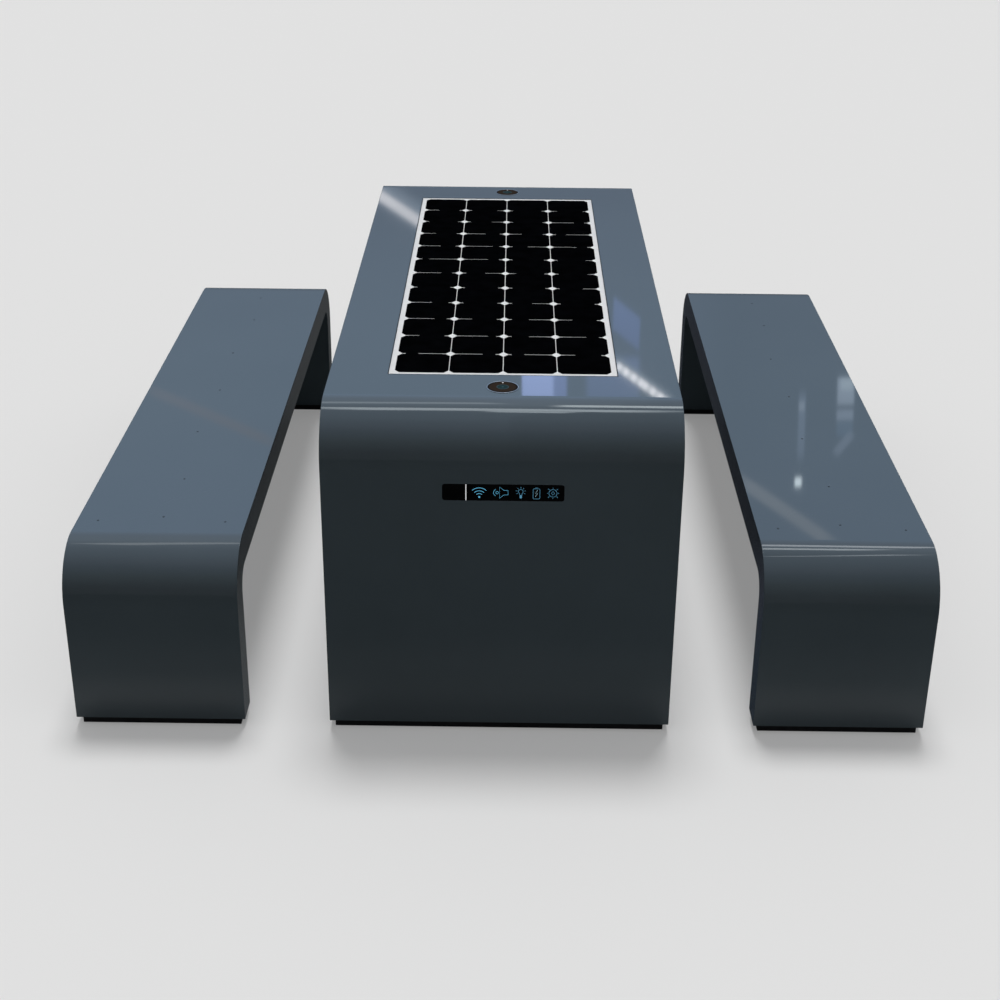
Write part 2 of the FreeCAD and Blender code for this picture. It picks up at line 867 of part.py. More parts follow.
def door_seal():
    body = new_body("door_seal")
    pad(body, "XZ_Plane", seal_seat, f"{door_front} - dim.seal_clearance",
        door_outline("-dim.frame_land + dim.seal_width"), door_outline("-dim.frame_land"))
    return body


def door_panel():
    body = new_body("door_panel")
    pad(body, "XZ_Plane", door_front, inner_face, door_outline("-dim.door_gap", "dim.door_corner"),
        circle(lock_x, door_middle, "dim.lock_radius"))
    rim = "-dim.frame_land - dim.door_rim_inset"
    pad(body, "XZ_Plane", frame_rear, door_front,
        door_outline(rim), door_outline(f"{rim} - dim.door_rim_wall"))
    return body


knuckle = "((dim.hinge_height - 2 * dim.knuckle_gap) / 3)"
leaf_reach = "(dim.hinge_barrel_radius + dim.knuckle_gap)"
hinge_spacing = "(dim.door_height - 2 * dim.hinge_inset - dim.hinge_height)"
hinge_low = "(dim.door_bottom + dim.hinge_inset)"


# Half a butt hinge about its own pin: a flat leaf and the knuckles that stand at the given levels.
def hinge_leaves(label, side, levels):
    body = new_body(label)
    back = "-dim.hinge_barrel_radius - dim.hinge_lift"
    face = f"{back} + dim.hinge_leaf_thickness"
    bore = "dim.hinge_pin_radius + dim.hinge_pin_clearance"
    near = "0"
    reach = f"{side}{leaf_reach}"
    far = f"{side}dim.hinge_leaf"
    features = [pad(body, "XY_Plane", "0", "dim.hinge_height",
                    box(*sorted((reach, far), key=value), back, face))]
    for low in levels:
        high = f"{low} + {knuckle}"
        features.append(pad(body, "XY_Plane", low, high, circle("0", "0", "dim.hinge_barrel_radius")))
        features.append(pad(body, "XY_Plane", low, high,
                            box(*sorted((near, reach), key=value), back, face)))
    for low in levels:
        features.append(cut(body, "XY_Plane", low, f"{low} + {knuckle}", circle("0", "0", bore)))
    repeat(body, features, "Z_Axis", "2", hinge_spacing)
    place(body, x=hinge_x, y=hinge_y, z=hinge_low)
    return body


def hinge_pins():
    body = new_body("hinge_pins")
    pin = pad(body, "XY_Plane", "0", "dim.hinge_height", circle("0", "0", "dim.hinge_pin_radius"))
    repeat(body, [pin], "Z_Axis", "2", hinge_spacing)
    place(body, x=hinge_x, y=hinge_y, z=hinge_low)
    return body


# ---- quarter-turn lock: its cam hangs down when open and turns behind the frame to lock ----

cam_front = f"({frame_rear} - {inner_face} - dim.cam_gap)"
cam_back = f"({cam_front} - dim.cam_thickness)"


def place_lock(body):
    place(body, x=lock_x, y=inner_face, z=door_middle)


def lock_housing():
    body = new_body("lock_housing")
    bore = "dim.lock_core_radius + dim.lock_core_clearance"
    turn(
        body, "XY_Plane", "Y_Axis",
        (bore, cam_front), ("dim.lock_radius", cam_front), ("dim.lock_radius", "0"),
        ("dim.lock_flange_radius", "0"), ("dim.lock_flange_radius", "dim.lock_flange_thickness"),
        (bore, "dim.lock_flange_thickness"),
    )
    place_lock(body)
    return body


def lock_core():
    body = new_body("lock_core")
    front = "(dim.lock_flange_thickness + dim.lock_core_proud)"
    neck = "dim.lock_neck_radius"
    turn(
        body, "XY_Plane", "Y_Axis",
        ("0", f"{cam_back} - dim.cam_nut_thickness"), (neck, f"{cam_back} - dim.cam_nut_thickness"),
        (neck, cam_front), ("dim.lock_core_radius", cam_front), ("dim.lock_core_radius", front),
        ("0", front),
    )
    document.recompute()
    cut(body, "XZ_Plane", f"{front} - dim.lock_keyway_depth", front,
        centred_box("dim.lock_keyway_width", "dim.lock_keyway_length"))
    place_lock(body)
    return body


def lock_cam():
    body = new_body("lock_cam")
    half = "(dim.cam_width / 2)"
    pad(
        body, "XZ_Plane", cam_back, cam_front,
        box(f"-{half}", half, "-dim.cam_length", half),
        circle("0", "0", "dim.lock_neck_radius"),
    )
    place_lock(body)
    return body


# ---- benches: the same hollow arch, narrower and lower ----

seat_skin_bottom = "(dim.bench_height - dim.skin)"
seat_floor = "(dim.bench_height - dim.bench_slab + dim.skin)"
cross_rib_place = f"({bench_half_length} - dim.cross_rib_end)"


# Inverted channel between the lining and the seat's skin, drawn about its own middle.
def channel_outline(width):
    half = f"(({width}) / 2)"
    wall = "dim.seat_rib_wall"
    roof = f"{seat_skin_bottom} - {wall}"
    return outline(
        (f"-{half}", seat_floor), (f"-{half} + {wall}", seat_floor), (f"-{half} + {wall}", roof),
        (f"{half} - {wall}", roof), (f"{half} - {wall}", seat_floor), (half, seat_floor),
        (half, seat_skin_bottom), (f"-{half}", seat_skin_bottom),
    )


def bench_shell(name):
    body = new_body(f"{name}_bench_shell")
    pad(body, "YZ_Plane", f"-{bench_half_width}", bench_half_width,
        arch_band(bench_arches[0], bench_arches[1]))
    return body


def bench_lining(name):
    body = new_body(f"{name}_bench_lining")
    pad(body, "YZ_Plane", f"-{bench_half_width}", bench_half_width,
        arch_band(bench_arches[2], bench_arches[3]))
    return body


def bench_ribs(name):
    body = new_body(f"{name}_bench_ribs")
    reach = f"({cross_rib_place} - dim.cross_rib_depth / 2)"
    pad(body, "XZ_Plane", f"-{reach}", reach, channel_outline("dim.seat_rib_width"))
    document.recompute()
    span = f"({bench_half_width} - dim.skin)"
    for way in ("-", ""):
        cross = pad(body, "YZ_Plane", f"-{span}", span, channel_outline("dim.cross_rib_depth"))
        cross.Profile[0].setExpression("AttachmentOffset.Base.x", f"{way}{cross_rib_place}")
    return body


def bench(name, side):
    leg = (bench_half_length, bench_half_width, "dim.bench_slab")
    bodies = [
        bench_shell(name),
        bench_lining(name),
        side_plates(f"{name}_bench_sides", bench_arches, bench_half_width),
        bench_ribs(name),
        base_plates(f"{name}_bench_base_plates", *leg),
        feet(f"{name}_bench_feet", *leg),
    ]
    for body in bodies:
        place(body, x=f"{side}{bench_offset}")
    return bodies


# ---- build every piece ----

pieces = [
    table_shell(),
    table_lining(),
    side_plates("table_sides", table_arches, table_half_width),
    base_plates("table_base_plates", table_half_length, table_half_width, table_slab),
    feet("table_feet", table_half_length, table_half_width, table_slab),
    top_ribs(),
    panel_ledge(),
    panel_layer("panel_backsheet", panel_underside,
                f"{panel_underside} + dim.backsheet_thickness"),
    panel_cells(),
    panel_layer("panel_glass", "dim.table_height - dim.glass_thickness", "dim.table_height"),
    panel_gasket(),
    panel_junction_box(),
    charger_bodies(),
    charger_discs(),
    charger_rings(),
    charger_nuts(),
    display_window(),
    display_housing(),
    display_board(),
    battery(),
    battery_shelf(),
    battery_strap(),
    equipment_plate(),
    charge_controller(),
    wifi_router(),
    audio_amplifier(),
    fuse_block(),
    speaker(),
    speaker_grille(),
    lamp_channel(),
    lamp_diffuser(),
    door_frame(),
    door_seal(),
    door_panel(),
    hinge_leaves("frame_hinge_leaves", "-", ("0", f"2 * ({knuckle} + dim.knuckle_gap)")),
    hinge_leaves("door_hinge_leaves", "", (f"{knuckle} + dim.knuckle_gap",)),
    hinge_pins(),
    lock_housing(),
    lock_core(),
    lock_cam(),
    *bench("left", "-"),
    *bench("right", ""),
]

document.recompute()

for item in document.Objects:
    if "Invalid" in item.State or "Error" in item.State:
        raise RuntimeError(f"{item.Label} failed: {item.State}")

os.makedirs("parts", exist_ok=True)
for piece in pieces:
    if piece.Shape.isNull() or not piece.Shape.isValid():
        raise RuntimeError(f"{piece.Label} has no valid shape")
    piece.Shape.exportStep(f"parts/{piece.Label}.step")
    print(piece.Label, len(piece.Shape.Solids), round(piece.Shape.Volume))
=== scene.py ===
import json
import math
import random

import bmesh
import bpy
from mathutils import Matrix, Vector


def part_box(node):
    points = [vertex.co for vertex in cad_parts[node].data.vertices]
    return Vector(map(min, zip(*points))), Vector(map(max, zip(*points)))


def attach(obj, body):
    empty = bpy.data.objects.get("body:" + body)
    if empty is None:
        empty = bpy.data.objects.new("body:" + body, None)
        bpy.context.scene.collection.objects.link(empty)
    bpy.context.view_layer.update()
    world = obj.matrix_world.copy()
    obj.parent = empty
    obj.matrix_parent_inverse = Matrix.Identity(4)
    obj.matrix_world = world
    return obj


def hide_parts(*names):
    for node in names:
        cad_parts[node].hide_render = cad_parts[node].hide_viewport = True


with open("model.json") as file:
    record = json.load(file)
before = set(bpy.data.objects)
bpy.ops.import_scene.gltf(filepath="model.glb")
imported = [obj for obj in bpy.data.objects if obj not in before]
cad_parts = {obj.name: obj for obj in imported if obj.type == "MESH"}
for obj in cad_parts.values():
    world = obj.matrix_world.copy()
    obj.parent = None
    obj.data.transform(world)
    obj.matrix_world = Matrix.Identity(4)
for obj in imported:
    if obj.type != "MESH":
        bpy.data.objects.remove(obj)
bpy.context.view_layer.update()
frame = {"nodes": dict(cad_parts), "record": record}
print("frame loaded:", len(frame["nodes"]), "nodes")

slotOf = {subpart["node"]: subpart["material_slot"] for subpart in frame["record"]["subparts"]}
bodyOf = {node: body for body, nodes in frame["record"]["behaviour"]["bodies"].items() for node in nodes}
mm = 0.001


# Sizes are written in millimetres and used in metres
def inMetres(sizes):
    if isinstance(sizes, dict):
        return {name: inMetres(size) for name, size in sizes.items()}
    return tuple(map(inMetres, sizes)) if isinstance(sizes, tuple) else sizes * mm


# Node helpers, for materials and for the world. An input is a value, an output, or a node for its first output

def connect(owner, value, socket):
    if isinstance(value, bpy.types.Node):
        value = value.outputs[0]
    if isinstance(value, bpy.types.NodeSocket):
        owner.node_tree.links.new(value, socket)
    else:
        socket.default_value = value


def addNode(owner, kind, inputs=None, **properties):
    node = owner.node_tree.nodes.new("ShaderNode" + kind)
    for name, value in properties.items():
        setattr(node, name, value)
    for socket, value in (inputs or {}).items():
        connect(owner, value, node.inputs[socket])
    return node


def calculate(owner, operation, *values):
    return addNode(owner, "Math", dict(enumerate(values)), operation=operation)


def mapRange(owner, value, start, end, low=0.0, high=1.0, kind="LINEAR"):
    return addNode(owner, "MapRange", {
        "Value": value, "From Min": start, "From Max": end, "To Min": low, "To Max": high,
    }, interpolation_type=kind)


def mixColours(owner, factor, first, second):
    return addNode(owner, "Mix", {"Factor": factor, 6: first, 7: second}, data_type="RGBA").outputs[2]


# A colour ramp through (position, colour) stops; a ramp holds no more than 1, so bright colours are scaled down
def rampOf(owner, stops, position, scale=1.0):
    ramp = addNode(owner, "ValToRGB", {"Fac": position})
    elements = ramp.color_ramp.elements
    for element, (place, colour) in ((elements[0], stops[0]), (elements[1], stops[-1])):
        element.position = place
        element.color = (*[c * scale for c in colour], 1)
    for place, colour in stops[1:-1]:
        elements.new(place).color = (*[c * scale for c in colour], 1)
    return ramp


def blendColours(material, factor, low, high, start=0.35, end=0.65):
    return rampOf(material, [(start, low), (end, high)], factor)


def feed(material, inputs):
    shader = material.node_tree.nodes["Principled BSDF"]
    for socket, value in inputs.items():
        connect(material, value, shader.inputs[socket])


def newMaterial(name, settings):
    material = bpy.data.materials.new(name)
    material.use_nodes = True
    feed(material, settings)
    return material


def objectPoint(material, stretch=(1, 1, 1), turn=(0, 0, 0)):
    place = addNode(material, "TexCoord").outputs["Object"]
    return addNode(material, "Mapping", {"Vector": place, "Scale": stretch, "Rotation": turn})


def noise(material, scale, detail=2, stretch=(1, 1, 1)):
    return addNode(material, "TexNoise", {"Vector": objectPoint(material, stretch), "Scale": scale, "Detail": detail})


def bump(material, height, depth):
    return addNode(material, "Bump", {"Height": height, "Distance": depth, "Strength": 1.0})


# Paints, plastics and glass. Colour and roughness each run between two values over a noise of (scale, detail),
# and the grain is (scale, detail, depth)

finishes = {
    "slatePaint": {     # its grain is the faint orange peel of powder coat
        "colours": ((0.0283, 0.0380, 0.0438), (0.0317, 0.0422, 0.0488)), "mottle": (2.2, 4),
        "roughness": (0.02, 0.036), "wear": (9, 5), "grain": (260, 2, 0.6e-6), "gloss": 0.38,
    },
    "footRubber": {
        "colours": ((0.003, 0.003, 0.0035), (0.006, 0.006, 0.007)), "mottle": (60, 3),
        "roughness": (0.6, 0.8), "wear": (120, 2), "grain": (700, 3, 40e-6), "gloss": 0.15,
    },
    "siliconCell": {    # back-contact cells have no lines on their face, only the mottle of the wafer
        "colours": ((0.0004, 0.0004, 0.0006), (0.0011, 0.0012, 0.0018)), "mottle": (26, 5),
        "roughness": (0.45, 0.6), "wear": (300, 2), "grain": (1500, 2, 6e-6), "gloss": 0.0,
    },
    "whiteSheet": {
        "colours": ((0.775, 0.78, 0.785), (0.81, 0.81, 0.81)), "mottle": (30, 4),
        "roughness": (0.5, 0.65), "wear": (200, 2), "grain": (260, 2, 8e-6), "gloss": 0.2,
    },
    "solarGlass": {     # clear glass with a coat against reflections
        "settings": {"Base Color": (0.006, 0.008, 0.009, 1), "Alpha": 0.03},
        "roughness": (0.05, 0.12), "wear": (12, 4), "grain": (1100, 2, 1e-6), "gloss": 0.0,
    },
    "stripGloss": {
        "colours": ((0.0006, 0.0006, 0.0008), (0.0013, 0.0013, 0.0016)), "mottle": (25, 2),
        "roughness": (0.06, 0.16), "wear": (35, 5), "grain": (400, 2, 0.5e-6), "gloss": 0.12,
    },
    "padDisc": {
        "colours": ((0.024, 0.018, 0.0145), (0.036, 0.027, 0.022)), "mottle": (900, 3),
        "roughness": (0.35, 0.5), "wear": (90, 3), "grain": (1500, 2, 10e-6), "gloss": 0.0,
    },
}


def makeFinish(name, roughness, wear, grain, gloss, colours=None, mottle=None, settings=None):
    material = newMaterial(name, {"Specular IOR Level": gloss, **(settings or {})})
    if colours:
        feed(material, {"Base Color": blendColours(material, noise(material, *mottle), *colours)})
    scale, detail, depth = grain
    feed(material, {
        "Roughness": mapRange(material, noise(material, *wear), 0, 1, *roughness),
        "Normal": bump(material, noise(material, scale, detail), depth),
    })
    return material


def plastic(name, colour, roughness=0.45, grain=900, depth=14e-6, gloss=0.45):
    lighter = [c * 1.25 + 0.003 for c in colour]
    spread = (roughness * 0.85, roughness * 1.15)
    return makeFinish(name, spread, (60, 2), (grain, 3, depth), gloss, (colour, lighter), (40, 3))


def brushedMetal(name, colour, roughness, stretch=(1, 1, 1), depth=3e-6):
    material = newMaterial(name, {"Metallic": 1.0})
    streaks = noise(material, 140, 4, stretch)
    feed(material, {
        "Base Color": blendColours(material, streaks, [c * 0.86 for c in colour], colour),
        "Roughness": mapRange(material, streaks, 0, 1, roughness * 0.7, roughness * 1.4),
        "Normal": bump(material, streaks, depth),
    })
    return material


def glowing(name, colour, strength, gloss=0.2):
    material = newMaterial(name, {"Emission Strength": strength, "Specular IOR Level": gloss})
    shade = blendColours(material, noise(material, 420), [c * 0.88 for c in colour], colour)
    roughness = mapRange(material, noise(material, 90), 0, 1, 0.32, 0.48)
    feed(material, {"Base Color": shade, "Emission Color": shade, "Roughness": roughness})
    return material


zincLook = {
    "spangle": 90, "dull": (0.42, 0.43, 0.44), "bright": (0.62, 0.63, 0.65), "roughness": (0.3, 0.52),
    "grain": 500, "depth": 8e-6,
}


def galvanised(look):
    material = newMaterial("galvanised", {"Metallic": 1.0})
    spangle = addNode(material, "TexVoronoi", {"Vector": objectPoint(material), "Scale": look["spangle"]}).outputs
    feed(material, {
        "Base Color": blendColours(material, spangle["Color"], look["dull"], look["bright"], 0.1, 0.9),
        "Roughness": mapRange(material, spangle["Distance"], 0, 1, *look["roughness"]),
        "Normal": bump(material, noise(material, look["grain"]), look["depth"]),
    })
    return material


boardLook = {
    "tracks": 110, "gap": 0.03, "roughness": (0.25, 0.4), "depth": 20e-6,
    "mask": ((0.012, 0.11, 0.05, 1), (0.016, 0.14, 0.06, 1)), "line": (0.04, 0.26, 0.12, 1),
}


def circuitBoard(look):
    material = newMaterial("circuitBoard", {"Specular IOR Level": 0.5})
    tracks = addNode(material, "TexBrick", {
        "Vector": objectPoint(material, turn=(math.radians(90), 0, 0)), "Scale": look["tracks"],
        "Mortar Size": look["gap"], "Color1": look["mask"][0], "Color2": look["mask"][1], "Mortar": look["line"],
    }).outputs
    feed(material, {
        "Base Color": tracks["Color"], "Normal": bump(material, tracks["Fac"], look["depth"]),
        "Roughness": mapRange(material, noise(material, 200), 0, 1, *look["roughness"]),
    })
    return material


slotMaterials = {
    "painted_steel": makeFinish("slatePaint", **finishes["slatePaint"]),
    "zinc_steel": galvanised(zincLook),
    "black_foot": makeFinish("footRubber", **finishes["footRubber"]),
    "panel_glass": makeFinish("solarGlass", **finishes["solarGlass"]),
    "solar_cell": makeFinish("siliconCell", **finishes["siliconCell"]),
    "backsheet": makeFinish("whiteSheet", **finishes["whiteSheet"]),
    "black_rubber": plastic("gasketRubber", (0.007, 0.007, 0.008), 0.65, gloss=0.2),
    "black_plastic": plastic("blackPlastic", (0.014, 0.014, 0.015)),
    "charger_ring": brushedMetal("satinRing", (0.25, 0.25, 0.255), 0.07, depth=1e-6),
    "charger_disc": makeFinish("padDisc", **finishes["padDisc"]),
    "display_gloss": makeFinish("stripGloss", **finishes["stripGloss"]),
    "circuit_board": circuitBoard(boardLook),
    "battery_case": plastic("batteryCase", (0.05, 0.054, 0.062), 0.5, 600, 30e-6),
    "aluminium": brushedMetal("anodised", (0.78, 0.79, 0.80), 0.32, (1, 1, 18)),
    "lamp_diffuser": glowing("opalDiffuser", (0.85, 0.85, 0.82), 0.12),
    "hinge_steel": brushedMetal("hingeSteel", (0.66, 0.66, 0.67), 0.26, (1, 1, 14)),
    "lock_chrome": brushedMetal("lockChrome", (0.82, 0.82, 0.83), 0.1, depth=1e-6),
}
screwSteel = brushedMetal("screwSteel", (0.55, 0.55, 0.57), 0.3)
blackScrew = plastic("blackOxide", (0.006, 0.006, 0.007), 0.4, gloss=0.25)
# Flat black without gloss: the painted shadow of the metal ring round the edge of each charging disc
ringShadowPaint = plastic("ringShadowPaint", (0.011, 0.011, 0.013), 0.6, gloss=0.0)
pulpCone = plastic("pulpCone", (0.03, 0.03, 0.032), 0.75, 1600, 60e-6)
redPlastic = plastic("redPlastic", (0.42, 0.02, 0.015), 0.4)
bluePlastic = plastic("bluePlastic", (0.02, 0.08, 0.32), 0.4)
amberPlastic = plastic("amberPlastic", (0.55, 0.22, 0.02), 0.4)
iconBlue = glowing("iconBlue", (0.085, 0.35, 0.53), 0.64)
iconFaint = glowing("iconFaint", (0.065, 0.21, 0.32), 0.62)
iconPale = glowing("iconPale", (0.22, 0.34, 0.38), 0.6)
stripWhite = glowing("stripWhite", (0.72, 0.73, 0.74), 0.35)
padTeal = glowing("padTeal", (0.012, 0.026, 0.030), 0.6, gloss=0.0)
padHalo = glowing("padHalo", (0.036, 0.066, 0.083), 0.5, gloss=0.0)
signalGreen = glowing("signalGreen", (0.05, 0.55, 0.12), 1.2)
signalAmber = glowing("signalAmber", (0.75, 0.32, 0.03), 1.0)
for nodeName, slotName in slotOf.items():
    node = frame["nodes"][nodeName]
    node.data.materials.clear()
    node.data.materials.append(slotMaterials[slotName])
print("materials ready:", len(bpy.data.materials))


# Mesh helpers

sharpAngle, foldAngle, cornerAngle = math.radians(35), math.radians(40), math.radians(30)
weldGap = 1e-6


def newObject(name, bm):
    mesh = bpy.data.meshes.new(name)
    bm.to_mesh(mesh)
    bm.free()
    obj = bpy.data.objects.new(name, mesh)
    bpy.context.scene.collection.objects.link(obj)
    return obj


# Shades a piece, gives it its finish and sets it on its body. In place of a node, it takes the node's slot and body
def finishPiece(obj, slotName=None, body="root", replaces=None, material=None):
    if replaces:
        slotName, body = slotOf[replaces], bodyOf[replaces]
    obj.data.materials.clear()
    obj.data.materials.append(material or slotMaterials[slotName])
    obj.data.shade_smooth()
    obj.data.set_sharp_from_angle(angle=sharpAngle)
    flatten = obj.modifiers.new("flatten", "WEIGHTED_NORMAL")
    flatten.keep_sharp = True
    flatten.weight = 100
    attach(obj, body)
    if replaces:
        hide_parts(replaces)


def addPiece(name, bm, slotName=None, **how):
    finishPiece(newObject(name, bm), slotName, **how)


def addMesh(bm, other):
    carrier = bpy.data.meshes.new("carrier")
    other.to_mesh(carrier)
    other.free()
    bm.from_mesh(carrier)
    bpy.data.meshes.remove(carrier)


def bevelEdges(bm, edges, width, steps=3):
    bmesh.ops.bevel(bm, geom=list(edges), offset=width, offset_type="OFFSET", segments=steps, profile=0.5,
                    affect="EDGES", material=-1, clamp_overlap=True)


# Lifts a face and returns the points of its far side
def extrudeFace(bm, face, step):
    grown = bmesh.ops.extrude_face_region(bm, geom=[face])
    moved = [item for item in grown["geom"] if isinstance(item, bmesh.types.BMVert)]
    bmesh.ops.translate(bm, vec=step, verts=moved)
    return moved


# A block with its edges along one axis rounded, then all its edges broken
def addBlock(bm, low, high, corner=0.0, along="y", steps=8, soft=0.0):
    low, high = Vector(low), Vector(high)
    block = bmesh.new()
    bmesh.ops.create_cube(block, size=1.0)
    bmesh.ops.scale(block, vec=high - low, verts=block.verts)
    bmesh.ops.translate(block, vec=(low + high) / 2, verts=block.verts)
    if corner > 0:
        axis = "xyz".index(along)
        straight = [e for e in block.edges if abs((e.verts[0].co - e.verts[1].co).normalized()[axis]) > 0.9]
        bevelEdges(block, straight, corner, steps)
    if soft > 0:
        bevelEdges(block, [e for e in block.edges if e.calc_face_angle(0) > cornerAngle], soft, 2)
    addMesh(bm, block)


# A prism over an outline of (x, y) points
def addPrism(bm, outline, bottom, top):
    prism = bmesh.new()
    face = prism.faces.new([prism.verts.new((x, y, bottom)) for x, y in outline])
    extrudeFace(prism, face, (0, 0, top - bottom))
    bmesh.ops.recalc_face_normals(prism, faces=prism.faces)
    addMesh(bm, prism)


axisTurns = {
    "+z": Matrix(), "-z": Matrix.Rotation(math.pi, 4, "X"),
    "+y": Matrix.Rotation(-math.pi / 2, 4, "X"), "-y": Matrix.Rotation(math.pi / 2, 4, "X"),
}


# Turns a profile of (radius, height) points about an axis through the place
def addTurned(bm, profile, place, axis="+z", steps=48, ring=False):
    turned = bmesh.new()
    points = [turned.verts.new((radius, 0, height)) for radius, height in profile]
    pairs = list(zip(points, points[1:])) + ([(points[-1], points[0])] if ring else [])
    edges = [turned.edges.new(pair) for pair in pairs]
    bmesh.ops.spin(turned, geom=points + edges, cent=(0, 0, 0), axis=(0, 0, 1), angle=2 * math.pi, steps=steps,
                   use_merge=True, use_duplicate=False)
    bmesh.ops.remove_doubles(turned, verts=turned.verts, dist=1e-7)
    bmesh.ops.recalc_face_normals(turned, faces=turned.faces)
    bmesh.ops.transform(turned, matrix=Matrix.Translation(place) @ axisTurns[axis], verts=turned.verts)
    addMesh(bm, turned)


def drumProfile(radius, height, soft=0.0):
    if soft <= 0:
        return [(0, 0), (radius, 0), (radius, height), (0, height)]
    return [(0, 0), (radius, 0), (radius, height - soft), (radius - 0.3 * soft, height - 0.3 * soft),
            (radius - soft, height), (0, height)]


def washerProfile(inner, outer, height):
    return [(inner, 0), (outer, 0), (outer, height), (inner, height)]


# A round-headed screw with a socket; taper, rim and socket are shares of its radius and height
def addScrew(bm, place, axis, radius, height, taper=0.86, rim=0.4, socket=0.7):
    head = bmesh.new()
    bmesh.ops.create_circle(head, cap_ends=True, segments=18, radius=radius)
    raised = extrudeFace(head, head.faces[:][0], (0, 0, height))
    bmesh.ops.scale(head, vec=(taper, taper, 1), verts=raised)
    cap = max(head.faces, key=lambda face: face.calc_center_median().z)
    bmesh.ops.inset_region(head, faces=[cap], thickness=radius * rim)
    bmesh.ops.translate(head, vec=(0, 0, -height * socket), verts=cap.verts[:])
    bmesh.ops.recalc_face_normals(head, faces=head.faces)
    bmesh.ops.transform(head, matrix=Matrix.Translation(place) @ axisTurns[axis], verts=head.verts)
    addMesh(bm, head)


# The four places an inset away from a box's corners, over x and another axis
def cornersOf(low, high, inset, axis):
    other = "xyz".index(axis)
    return [(x, z) for x in (low.x + inset, high.x - inset) for z in (low[other] + inset, high[other] - inset)]


def cutAway(obj, cutterBm):
    cutter = newObject("cutter", cutterBm)
    opening = obj.modifiers.new("opening", "BOOLEAN")
    opening.operation = "DIFFERENCE"
    opening.solver = "EXACT"
    opening.object = cutter
    bpy.context.view_layer.update()
    cutMesh = bpy.data.meshes.new_from_object(obj.evaluated_get(bpy.context.evaluated_depsgraph_get()))
    obj.modifiers.clear()
    obj.data = cutMesh
    bpy.data.objects.remove(cutter)


# Rounds the sharp edges whose points all pass the test
def roundRims(obj, isRim, width):
    bm = bmesh.new()
    bm.from_mesh(obj.data)
    bmesh.ops.remove_doubles(bm, verts=bm.verts, dist=weldGap)
    bmesh.ops.dissolve_limit(bm, angle_limit=math.radians(0.2), verts=bm.verts, edges=bm.edges)
    rims = [e for e in bm.edges if e.calc_face_angle(0) > foldAngle and all(isRim(v.co) for v in e.verts)]
    bevelEdges(bm, rims, width, 2)
    bm.to_mesh(obj.data)
    bm.free()


# A node of the frame with its edges softened, as moulding, folding and deburring leave them
def softenNode(nodeName, width):
    bm = bmesh.new()
    bm.from_mesh(frame["nodes"][nodeName].data)
    bmesh.ops.remove_doubles(bm, verts=bm.verts, dist=weldGap)
    bmesh.ops.dissolve_limit(bm, angle_limit=math.radians(1), verts=bm.verts, edges=bm.edges)
    obj = newObject("soft_" + nodeName, bm)
    edges = obj.modifiers.new("edges", "BEVEL")
    edges.width = width
    edges.segments = 2
    edges.limit_method = "ANGLE"
    edges.angle_limit = foldAngle
    finishPiece(obj, replaces=nodeName)


# Bent sheets. An arch is (half length, top, bend radius)

sheetSizes = inMetres({"rimRound": 1.2, "cutRound": 0.4, "base": 22, "skin": 3, "rimMargin": 50})
bendSteps = 32


def onArch(point, arch):
    half, top, bend = arch
    away = math.hypot(max(abs(point.y) - (half - bend), 0), max(point.z - (top - bend), 0))
    return abs(away - bend) < 1e-5


def archSheet(name, outer, inner, left, right, roundedArch=None):
    (outerHalf, outerTop, _), (innerHalf, innerTop, _) = outer, inner
    base = sheetSizes["base"]
    outline = [
        (-outerHalf, base), (-outerHalf, outerTop), (outerHalf, outerTop), (outerHalf, base),
        (innerHalf, base), (innerHalf, innerTop), (-innerHalf, innerTop), (-innerHalf, base),
    ]
    bm = bmesh.new()
    face = bm.faces.new([bm.verts.new((left, y, z)) for y, z in outline])
    extrudeFace(bm, face, (right - left, 0, 0))
    bmesh.ops.recalc_face_normals(bm, faces=bm.faces)
    for half, top, bend in (outer, inner):
        corners = [e for e in bm.edges if abs(e.verts[0].co.x - e.verts[1].co.x) > 1e-6
                   and all(abs(abs(v.co.y) - half) < 1e-6 and abs(v.co.z - top) < 1e-6 for v in e.verts)]
        bevelEdges(bm, corners, bend, bendSteps)
    if roundedArch is not None:
        rim = [e for e in bm.edges if abs(e.verts[0].co.x - e.verts[1].co.x) < 1e-6
               and all(onArch(v.co, roundedArch) for v in e.verts)]
        bevelEdges(bm, rim, sheetSizes["rimRound"])
    return newObject(name, bm)


# The faces of a hollow slab from outside to inside: two for the shell, two for the lining
def slabArches(size):
    skin = sheetSizes["skin"]
    half, top, bend, innerBend = size["half"], size["top"], size["bend"], size["innerBend"]
    innerHalf, innerTop = half - size["slab"], top - size["slab"]
    return (
        (half, top, bend), (half - skin, top - skin, bend - skin),
        (innerHalf + skin, innerTop + skin, innerBend + skin), (innerHalf, innerTop, innerBend),
    )


tableSizes = inMetres({
    "half": 1025, "top": 800, "slab": 100, "bend": 130, "innerBend": 30, "halfWidth": 400,
    "opening": (265, 770),
    "strip": {"x": (-130.5, 139.5), "z": (601.5, 641.5), "corner": 6},
    "door": {"x": (-280, 280), "z": (80, 380), "corner": 6},
    "speaker": {"z": 590, "radius": 45},
    "pads": {"y": 845, "radius": 31.2},
})
innerFace = tableSizes["slab"] - tableSizes["half"]      # the face that the door is set in


